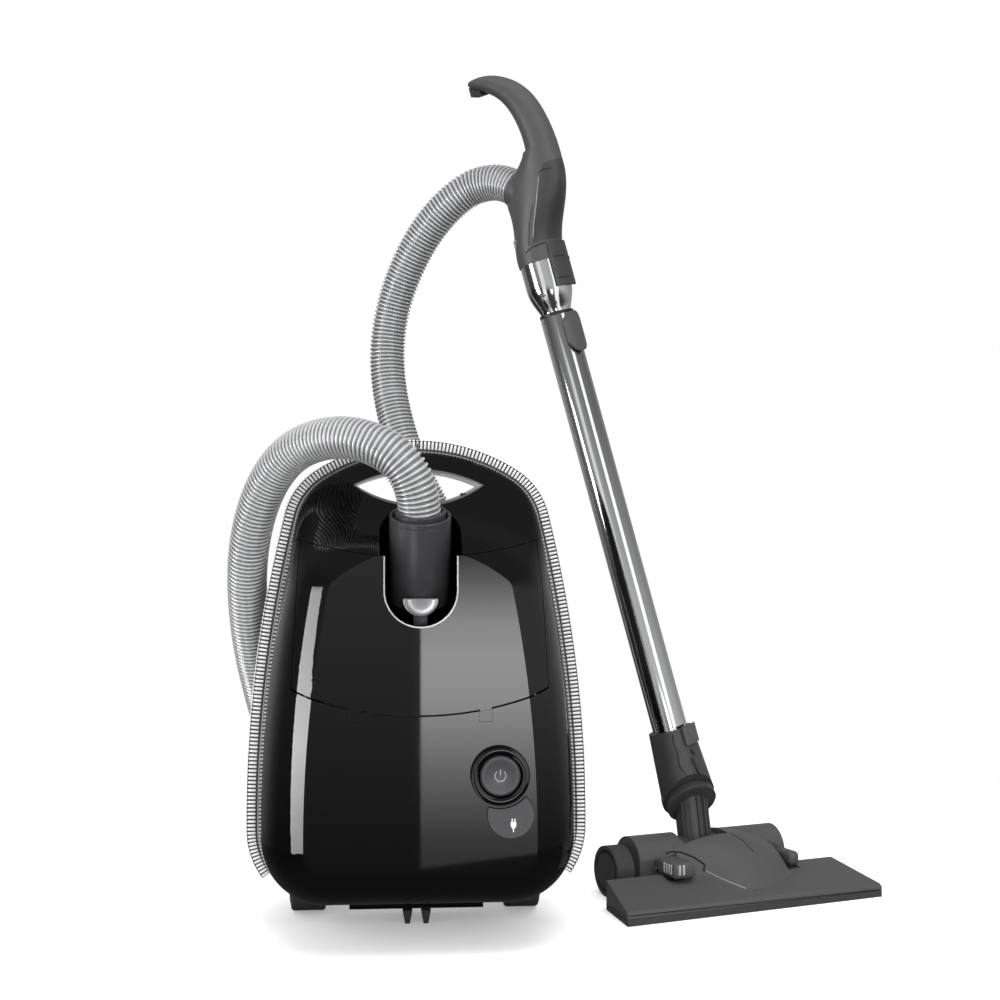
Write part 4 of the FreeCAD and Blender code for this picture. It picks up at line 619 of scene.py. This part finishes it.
def make_dial():
    """The suction dial as a polished ring, the button in it and its mark."""
    low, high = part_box("suction_dial")
    centre = Vector(((low.x + high.x) / 2, 0.0, (low.z + high.z) / 2))
    face_y = CLEANER.y - FRONT_FACE * MM
    proud = (face_y - low.y) / MM
    at = facing_front(Vector((centre.x, face_y, centre.z)))
    profile = [(18.2, 0.4), (25.2, 0.4), (25.2, proud - 2.6), (24.3, proud - 0.7), (22.6, proud)]
    profile += [(20.6, proud), (18.9, proud - 1.0), (18.2, proud - 3.0)]
    ring = turned("suction_ring", profile, at)
    keep(ring, gloss_abs, "moulded_black", "suction_dial", "suction_dial")
    top = (face_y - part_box("power_button")[0].y) / MM
    hollow = top - 0.9
    profile = [(0.0, hollow), (12.0, top - 0.7), (14.6, top), (16.0, top - 0.2)]
    profile += [(17.2, top - 1.4), (17.5, top - 3.2), (17.5, 0.4), (0.0, 0.4)]
    cap = turned("power_cap", profile, at)
    keep(cap, satin_abs, "gloss_black", "power_button", "power_button")

    clear_selection()
    bpy.ops.mesh.primitive_torus_add(
        major_radius=4.6 * MM, minor_radius=0.42 * MM, major_segments=48, minor_segments=8
    )
    arc = bpy.context.object
    bpy.ops.object.mode_set(mode="EDIT")
    mesh = bmesh.from_edit_mesh(arc.data)
    for vertex in mesh.verts:
        vertex.select = abs(math.atan2(vertex.co.x, vertex.co.y)) < MARK_GAP
    mesh.select_flush(False)
    bmesh.update_edit_mesh(arc.data)
    bpy.ops.mesh.delete(type="VERT")
    bpy.ops.mesh.select_all(action="SELECT")
    bpy.ops.mesh.fill_holes(sides=0)
    bpy.ops.object.mode_set(mode="OBJECT")
    bar = block("mark_bar", (-0.42, 0.6, -0.42), (0.42, 5.4, 0.42), 0.15)
    mark = joined("power_mark", [arc, bar])
    mark.data.transform(facing_front(Vector((centre.x, face_y - hollow * MM, centre.z))))
    keep(mark, grey_ink, "moulded_grey", "power_button")


def make_plug_mark():
    """The printed plug on the rewind button."""
    spot = PLUG_MARK.copy()
    spot.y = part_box("rewind_button")[0].y
    parts = [
        block("plug_body", (-2.3, -2.2, -0.25), (2.3, 2.0, 0.12), 0.08),
        block("plug_left_prong", (-1.6, 1.8, -0.25), (-0.7, 4.8, 0.12), 0.08),
        block("plug_right_prong", (0.7, 1.8, -0.25), (1.6, 4.8, 0.12), 0.08),
        block("plug_neck", (-1.3, -3.6, -0.25), (1.3, -2.0, 0.12), 0.08),
        block("plug_lead", (-0.45, -6.6, -0.25), (0.45, -3.4, 0.12), 0.08),
    ]
    mark = joined("plug_mark", parts)
    mark.data.transform(facing_front(spot))
    keep(mark, pale_ink, "moulded_grey", "rewind_button")


def make_connector():
    """The hose connector: a tube with a lipped mouth, a finger groove and the hose's sleeve in it."""
    at = Matrix.Translation(MOUTH) @ Matrix.Rotation(MOUTH_TILT, 4, "X")
    profile = [(15.0, -96.0), (17.5, -96.0), (17.5, -79.0), (25.8, -79.0), (26.5, -78.0)]
    profile += [(26.5, -5.6), (26.0, -5.0), (26.5, -4.4), (26.5, -1.0), (25.8, -0.1), (24.9, -0.1)]
    profile += [(24.1, -0.9), (23.8, -8.0), (22.0, -8.0), (21.8, 3.2), (21.2, 4.0), (19.6, 4.0)]
    profile += [(19.2, 3.4), (19.2, -26.0), (15.0, -28.0)]
    tube = turned("connector_tube", profile, at)
    keep(tube, satin_abs, "moulded_grey", "hose_connector", "hose_connector")


def make_release():
    """The bright half-round release button and its stem."""
    low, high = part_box("hose_release")
    centre = Vector((CLEANER.x, high.y, RELEASE_Z))
    front = (high.y - low.y) / MM
    profile = [(0.0, front - 0.6), (9.0, front - 0.3), (13.6, front), (15.0, front - 0.5)]
    profile += [(15.5, front - 1.6), (15.5, 0.0), (0.0, 0.0)]
    button = turned("release_button", profile, facing_front(centre), RELEASE_STEPS)
    bpy.context.view_layer.objects.active = button
    button.select_set(True)
    bpy.ops.object.mode_set(mode="EDIT")
    bpy.ops.mesh.select_all(action="SELECT")
    bpy.ops.mesh.bisect(plane_co=centre, plane_no=(0.0, 0.0, 1.0), use_fill=True, clear_outer=True)
    bpy.ops.object.mode_set(mode="OBJECT")
    keep(button, lacquered_abs, "moulded_black", "hose_release", "hose_release")
    stem = block("release_stem", (-6, 0, low.z / MM), (6, STEM_THICK, 296), 0.3)
    stem.data.transform(Matrix.Translation((CLEANER.x, high.y - STEM_THICK * MM, 0.0)))
    keep(stem, black_abs, "moulded_black", "hose_release", "hose_release")


def make_hinge_covers():
    """Flush tongues of the lid over its hinges, cut to the line of the seam."""
    for side, name in ((-1, "left"), (1, "right")):
        x = side * HINGE_X
        low, high = (x - 5.3, -FRONT_FACE, 201.6), (x + 5.3, 1.0 - FRONT_FACE, 210.7)
        tongue = block("hinge_cover_" + name, low, high)
        for vertex in tongue.data.vertices:
            if vertex.co.z > SEAM_Z * MM:
                vertex.co.z += side * SEAM_SLOPE * (vertex.co.x - x * MM)
        tongue.data.transform(Matrix.Translation(CLEANER))
        keep(tongue, gloss_abs, "gloss_black", "lid")


make_dial()
make_plug_mark()
make_connector()
make_release()
make_hinge_covers()

# Wand: turned tubes, in the wand's frame

TUBE_WALL = 0.8


def make_tubes():
    """The lower tube and the telescoping upper tube with its rounded swage."""
    profile = [(17.6, 34.0), (17.6, 506.5), (17.3, 507.0), (16.7, 507.0), (16.7, 34.0)]
    lower = turned("wand_lower_tube", profile, WAND)
    keep(lower, chromed_steel, "steel_tube", "wand", "lower_tube")
    outer = [(15.6, 130.0), (15.6, 508.0), (15.9, 511.5), (16.8, 514.5), (18.3, 518.0)]
    outer += [(20.6, 524.0), (22.2, 529.0), (23.1, 534.0), (23.4, 540.0), (23.4, 592.0)]
    inner = [(radius - TUBE_WALL, height) for radius, height in reversed(outer)]
    upper = turned("wand_upper_tube", outer + inner, WAND)
    keep(upper, chromed_steel, "steel_tube", "handle", "upper_tube")


# Pedals of the floor head, in its frame: places of the ribs on the left one's end and front
END_RIBS = (47.0, 51.5, 56.0, 60.5)
FRONT_RIBS = (-57.5, -53.0)
RIB_WIDE = 2.4


def make_pedals():
    """Rounded rockers, the left one with a ribbed end."""
    left = block("rocker_left", (-62, 42, 27), (-38, 79, 42.5), 3.5, HEAD)
    keep(left, grained_abs, "moulded_grey", "pedal_left", "pedal_left")
    ribs = [block("rib", (-62.6, y, 31), (-61.2, y + RIB_WIDE, 40.5), 0.5) for y in END_RIBS]
    ribs += [block("rib", (x, 41.4, 31), (x + RIB_WIDE, 43.0, 40.5), 0.5) for x in FRONT_RIBS]
    whole = joined("rocker_left_ribs", ribs)
    whole.data.transform(HEAD)
    keep(whole, rim_abs, "moulded_grey", "pedal_left")
    right = block("rocker_right", (74, 48, 27), (86, 79, 41), 4.5, HEAD)
    keep(right, grained_abs, "moulded_grey", "pedal_right", "pedal_right")


make_tubes()
make_pedals()

# Floor, light and camera

# The camera's place and angles, its lens and its sensor's width in millimetres
EYE = Vector((-0.1943, -1.5370, 0.38))
EYE_ANGLES = (math.radians(90.38), 0.0, math.radians(-4.5))
LENS = 58.86
SENSOR = 36.0
# The floor's radius, its own glow, and the distances between which it fades into the room
FLOOR_RADIUS = 3.0
FLOOR_GLOW = 0.28
FADE_START, FADE_END = 0.55, 0.95

# Panels seen only in reflections: their corners, and strengths at heights in metres
CARDS = [
    (
        "front_card",
        [(-0.085, -2.4, -0.413), (0.354, -2.4, -0.362), (0.354, -2.4, 0.34), (-0.085, -2.4, 0.34)],
        [
            (-0.41, 0.65), (-0.346, 0.95), (-0.277, 1.75), (-0.206, 2.85), (-0.137, 4.3), (-0.033, 6.5),
            (0.059, 7.0), (0.13, 6.0), (0.225, 2.5), (0.293, 0.8), (0.34, 0.0),
        ],
    ),
    (
        "left_card",
        [(-1.95, -1.15, -0.35), (-2.0, -0.5, -0.35), (-2.0, -0.15, 0.95), (-1.95, -0.65, 0.95)],
        [(-0.35, 5.0), (0.05, 12.0), (0.95, 4.0)],
    ),
    (
        "tube_left_card",
        [(-1.15, -1.15, -1.6), (-0.72, -1.5, -1.6), (-0.72, -1.5, 1.5), (-1.15, -1.15, 1.5)],
        [(-1.6, 2.2), (-0.4, 1.6), (0.4, 1.1), (1.5, 0.9)],
    ),
    (
        "tube_right_card",
        [(0.52, -1.6, -0.3), (1.05, -1.2, -0.3), (1.05, -1.2, 2.8), (0.52, -1.6, 2.8)],
        [(-0.3, 1.3), (0.6, 1.6), (2.8, 1.6)],
    ),
]
# Softboxes: place, what they aim at, width, height and power in watts
BOXES = [
    ("front_box", (0.2, -2.4, 1.0), (-0.05, 0.0, 0.3), 1.4, 1.4, 26.0),
    ("left_box", (-1.9, -0.95, 0.9), (-0.1, 0.0, 0.4), 1.0, 1.6, 16.0),
    ("top_box", (0.1, -0.4, 2.6), (0.0, 0.0, 0.0), 2.4, 1.6, 55.0),
]


def place_camera():
    camera = bpy.data.cameras.new("camera")
    camera.lens = LENS
    camera.sensor_width = SENSOR
    viewer = bpy.data.objects.new("camera", camera)
    viewer.location = EYE
    viewer.rotation_euler = EYE_ANGLES
    bpy.context.scene.collection.objects.link(viewer)
    bpy.context.scene.camera = viewer


def lay_floor():
    """A pale painted floor that fades into the white room around the object."""
    clear_selection()
    bpy.ops.mesh.primitive_circle_add(vertices=96, radius=FLOOR_RADIUS, fill_type="NGON")
    floor = bpy.context.object
    floor.name = "floor"
    floor.data.name = "floor"
    material = bpy.data.materials.new("painted_floor")
    material.use_nodes = True
    tree = material.node_tree
    shader = tree.nodes["Principled BSDF"]
    shader.inputs["Base Color"].default_value = linear("#f2f2f2")
    shader.inputs["Roughness"].default_value = 0.9
    rays = put(tree, "ShaderNodeLightPath")
    place = put(tree, "ShaderNodeTexCoord").outputs["Object"]
    reach = put(tree, "ShaderNodeVectorMath", {0: place}, operation="LENGTH")
    edges = {"Value": reach.outputs["Value"], "From Min": FADE_START, "From Max": FADE_END}
    fade = put(tree, "ShaderNodeMapRange", edges)
    glow = put(tree, "ShaderNodeEmission", {"Strength": FLOOR_GLOW})
    lit = put(tree, "ShaderNodeAddShader", {0: shader.outputs["BSDF"], 1: glow.outputs["Emission"]})
    shown = put(tree, "ShaderNodeMixShader", {0: rays.outputs["Is Camera Ray"], 1: shader.outputs["BSDF"]})
    tree.links.new(lit.outputs["Shader"], shown.inputs[2])
    clear = put(tree, "ShaderNodeBsdfTransparent")
    whole = put(tree, "ShaderNodeMixShader", {0: fade.outputs["Result"], 1: shown.outputs["Shader"]})
    tree.links.new(clear.outputs["BSDF"], whole.inputs[2])
    tree.links.new(whole.outputs["Shader"], tree.nodes["Material Output"].inputs["Surface"])
    floor.data.materials.append(material)
    floor.visible_glossy = False


def glow_card(name, corners, stops):
    """A softbox that only shows in reflections; stops are heights in metres and strengths there."""
    card = new_piece(name, corners, [(0, 1, 2, 3)])
    material = bpy.data.materials.new(name)
    material.use_nodes = True
    tree = material.node_tree
    tree.nodes.remove(tree.nodes["Principled BSDF"])
    place = put(tree, "ShaderNodeTexCoord").outputs["Object"]
    height = put(tree, "ShaderNodeSeparateXYZ", {0: place}).outputs["Z"]
    low, high = stops[0][0], stops[-1][0]
    share = put(tree, "ShaderNodeMapRange", {"Value": height, "From Min": low, "From Max": high})
    ramp = put(tree, "ShaderNodeValToRGB", {"Fac": share.outputs["Result"]})
    peak = max(strength for _, strength in stops)
    marks = ramp.color_ramp.elements
    while len(marks) < len(stops):
        marks.new(0.5)
    for number, (stop, strength) in enumerate(stops):
        marks[number].position = (stop - low) / (high - low)
        level = strength / peak
        marks[number].color = (level, level, level, 1.0)
    glow = put(tree, "ShaderNodeEmission", {"Color": ramp.outputs["Color"], "Strength": peak})
    tree.links.new(glow.outputs["Emission"], tree.nodes["Material Output"].inputs["Surface"])
    card.data.materials.append(material)
    card.visible_camera = False
    card.visible_diffuse = False
    card.visible_shadow = False


def softbox(name, place, aim, width, height, power):
    light = bpy.data.lights.new(name, "AREA")
    light.shape = "RECTANGLE"
    light.size, light.size_y = width, height
    light.energy = power
    lamp = bpy.data.objects.new(name, light)
    lamp.location = place
    lamp.rotation_euler = (Vector(aim) - Vector(place)).to_track_quat("-Z", "Y").to_euler()
    lamp.visible_camera = False
    lamp.visible_glossy = False
    bpy.context.scene.collection.objects.link(lamp)


def set_lights():
    """An even pale room for the eye and for matt surfaces, and a shaped one in reflections."""
    world = bpy.data.worlds.new("studio")
    bpy.context.scene.world = world
    world.use_nodes = True
    tree = world.node_tree
    room = tree.nodes["Background"]
    rays = put(tree, "ShaderNodeLightPath")
    way = put(tree, "ShaderNodeTexCoord").outputs["Generated"]
    parts = put(tree, "ShaderNodeSeparateXYZ", {"Vector": way})

    def shade(axis, start, end, first, last):
        spread = {"Value": parts.outputs[axis], "From Min": start, "From Max": end}
        spread.update({"To Min": first, "To Max": last})
        return put(tree, "ShaderNodeMapRange", spread).outputs["Result"]

    def times(a, b):
        return put(tree, "ShaderNodeMath", {0: a, 1: b}, operation="MULTIPLY").outputs["Value"]

    behind = shade("Y", -0.4, 0.3, 0.62, 0.4)
    below = shade("Z", -0.23, 0.0, 0.1, 1.0)
    above = shade("Z", 0.12, 0.6, 1.0, 0.35)
    left = shade("X", -0.95, -0.6, 0.3, 1.0)
    mirrored = times(times(behind, below), times(above, left))
    plain = shade("Z", -0.3, 0.1, 0.35, 0.8)
    choice = {"Factor": rays.outputs["Is Glossy Ray"], "A": plain, "B": mirrored}
    unseen = put(tree, "ShaderNodeMix", choice, data_type="FLOAT")
    choice = {"Factor": rays.outputs["Is Camera Ray"], "A": unseen.outputs["Result"], "B": 1.0}
    level = put(tree, "ShaderNodeMix", choice, data_type="FLOAT")
    room.inputs["Color"].default_value = (1.0, 1.0, 1.0, 1.0)
    tree.links.new(level.outputs["Result"], room.inputs["Strength"])
    for name, corners, stops in CARDS:
        glow_card(name, corners, stops)
    for name, place, aim, width, height, power in BOXES:
        softbox(name, place, aim, width, height, power)


# Lines of the mouldings: fine beads laid on the surfaces where the camera sees them. The dark beads are
# painted shade in the seams, steps, grooves and slots, and the pale ones are painted highlights along a
# seam and a crease.

# Sides of the square picture on which the marks below are placed
PICTURE = 1000.0
GRIP_NODES = ("handle_shell", "handle_cover")
HEAD_NODES = ("head_cover", "head_sole")
HANDLE_FOOT = [(538.6, 172.3), (543.5, 169.0), (550.4, 167.8)]
HANDLE_BRIGHT = [(538.6, 177.0), (537.5, 190.0), (535.8, 208.0), (534.0, 222.0), (532.8, 237.7)]
HANDLE_DARK = [(532.8, 204.5), (528.9, 226.0), (528.9, 245.5)]
HANDLE_COLLAR = [(525.0, 253.4), (531.8, 247.5), (539.6, 244.0), (547.0, 242.0)]
CLIP_HIGH = [(548.5, 256.3), (565.0, 255.3)]
CLIP_LOW = [(555.0, 278.0), (569.5, 275.8)]
NECK_GROOVE = [(672.9, 735.0), (672.9, 740.8), (677.6, 753.5), (680.0, 767.3), (687.1, 776.0)]
NECK_SLOT_HIGH = [(691.0, 750.0), (694.0, 754.0)]
NECK_SLOT_LOW = [(692.0, 758.0), (699.0, 775.0)]
SOLE_END = [(606.8, 904.0), (629.0, 916.3)]
SOLE_FRONT = [(629.5, 916.2), (700.0, 908.8), (800.0, 898.2), (880.0, 889.6)]
DOME_SEAM = [(731.0, 833.7), (743.3, 840.8), (753.5, 852.0)]
SEAT_RIM = [
    (666.0, 853.5), (672.0, 851.5), (682.0, 852.5), (694.3, 857.5), (704.5, 864.5), (704.0, 871.4),
]
DOME_CREASE = [(706.0, 871.0), (725.0, 880.0), (746.0, 888.5)]
# Surface and slot of each sort of line: dark beads of painted shade, and pale and bright beads of painted
# highlight
PAINTED_SHADE, PAINTED_CREASE_LIGHT = (black_abs, "moulded_black"), (rim_abs, "moulded_grey")
PAINTED_HIGHLIGHT = (lacquered_abs, "moulded_grey")
# Each line: the nodes that it lies on, its marks, its radius in millimetres, its sort and its body
LINES = [
    ("handle_foot_line", GRIP_NODES, HANDLE_FOOT, 0.45, PAINTED_SHADE, "handle"),
    ("handle_bright_line", GRIP_NODES, HANDLE_BRIGHT, 0.5, PAINTED_HIGHLIGHT, "handle"),
    ("handle_dark_line", GRIP_NODES, HANDLE_DARK, 0.4, PAINTED_SHADE, "handle"),
    ("handle_collar_line", GRIP_NODES, HANDLE_COLLAR, 0.55, PAINTED_SHADE, "handle"),
    ("clip_line", ("handle_clip",), CLIP_HIGH, 0.5, PAINTED_SHADE, "handle_clip"),
    ("clip_low_line", ("handle_clip",), CLIP_LOW, 0.5, PAINTED_SHADE, "handle_clip"),
    ("neck_groove", ("neck_elbow",), NECK_GROOVE, 0.6, PAINTED_SHADE, "wand"),
    ("neck_slot_0", ("neck_elbow",), NECK_SLOT_HIGH, 1.5, PAINTED_SHADE, "wand"),
    ("neck_slot_1", ("neck_elbow",), NECK_SLOT_LOW, 1.5, PAINTED_SHADE, "wand"),
    ("sole_line", HEAD_NODES, SOLE_END, 0.5, PAINTED_SHADE, "cleaner"),
    ("sole_front_line", HEAD_NODES, SOLE_FRONT, 0.5, PAINTED_SHADE, "cleaner"),
    ("dome_line", HEAD_NODES, DOME_SEAM, 0.45, PAINTED_SHADE, "cleaner"),
    ("seat_rim", HEAD_NODES, SEAT_RIM, 0.9, PAINTED_SHADE, "cleaner"),
    ("dome_crease", HEAD_NODES, DOME_CREASE, 0.35, PAINTED_CREASE_LIGHT, "cleaner"),
]
# Where a line is laid between one mark and the next
BEAD_SHARES = (0.0, 0.25, 0.5, 0.75)
trees = {}


def surface(node):
    """The searchable surface of a node."""
    if node not in trees:
        mesh = NODES[node].data
        corners = [vertex.co[:] for vertex in mesh.vertices]
        trees[node] = BVHTree.FromPolygons(corners, [face.vertices[:] for face in mesh.polygons])
    return trees[node]


def seen(nodes, x, y):
    """The nearest place on some nodes at a point of the picture."""
    reach = LENS / SENSOR * PICTURE
    across, up = (x - PICTURE / 2) / reach, (PICTURE / 2 - y) / reach
    way = (Euler(EYE_ANGLES).to_matrix() @ Vector((across, up, -1.0))).normalized()
    best = None
    for node in nodes:
        place, _, _, distance = surface(node).ray_cast(EYE, way)
        if place is not None and (best is None or distance < best[1]):
            best = (place, distance)
    return best[0] if best else None


def bead(name, nodes, marks, radius, material, slot, body):
    """A fine bead through marks on the picture, half sunk in the surface that they meet."""
    places = []
    for (x0, y0), (x1, y1) in zip(marks, marks[1:]):
        for share in BEAD_SHARES:
            places.append(seen(nodes, x0 + (x1 - x0) * share, y0 + (y1 - y0) * share))
    places.append(seen(nodes, *marks[-1]))
    places = [place for place in places if place is not None]
    curve = bpy.data.curves.new(name, "CURVE")
    curve.dimensions = "3D"
    curve.bevel_depth = radius * MM
    curve.bevel_resolution = 2
    curve.use_fill_caps = True
    spline = curve.splines.new("POLY")
    spline.points.add(len(places) - 1)
    for point, place in zip(spline.points, places):
        point.co = (*place, 1.0)
    guide = bpy.data.objects.new(name, curve)
    bpy.context.scene.collection.objects.link(guide)
    mesh = bpy.data.meshes.new_from_object(guide)
    bpy.data.objects.remove(guide)
    mesh.name = name
    piece = bpy.data.objects.new(name, mesh)
    bpy.context.scene.collection.objects.link(piece)
    mesh.shade_smooth()
    keep(piece, material, slot, body)


def draw_lines():
    for name, nodes, marks, radius, (material, slot), body in LINES:
        bead(name, nodes, marks, radius, material, slot, body)


draw_lines()
place_camera()
lay_floor()
set_lights()
bpy.context.scene.view_settings.view_transform = "Standard"
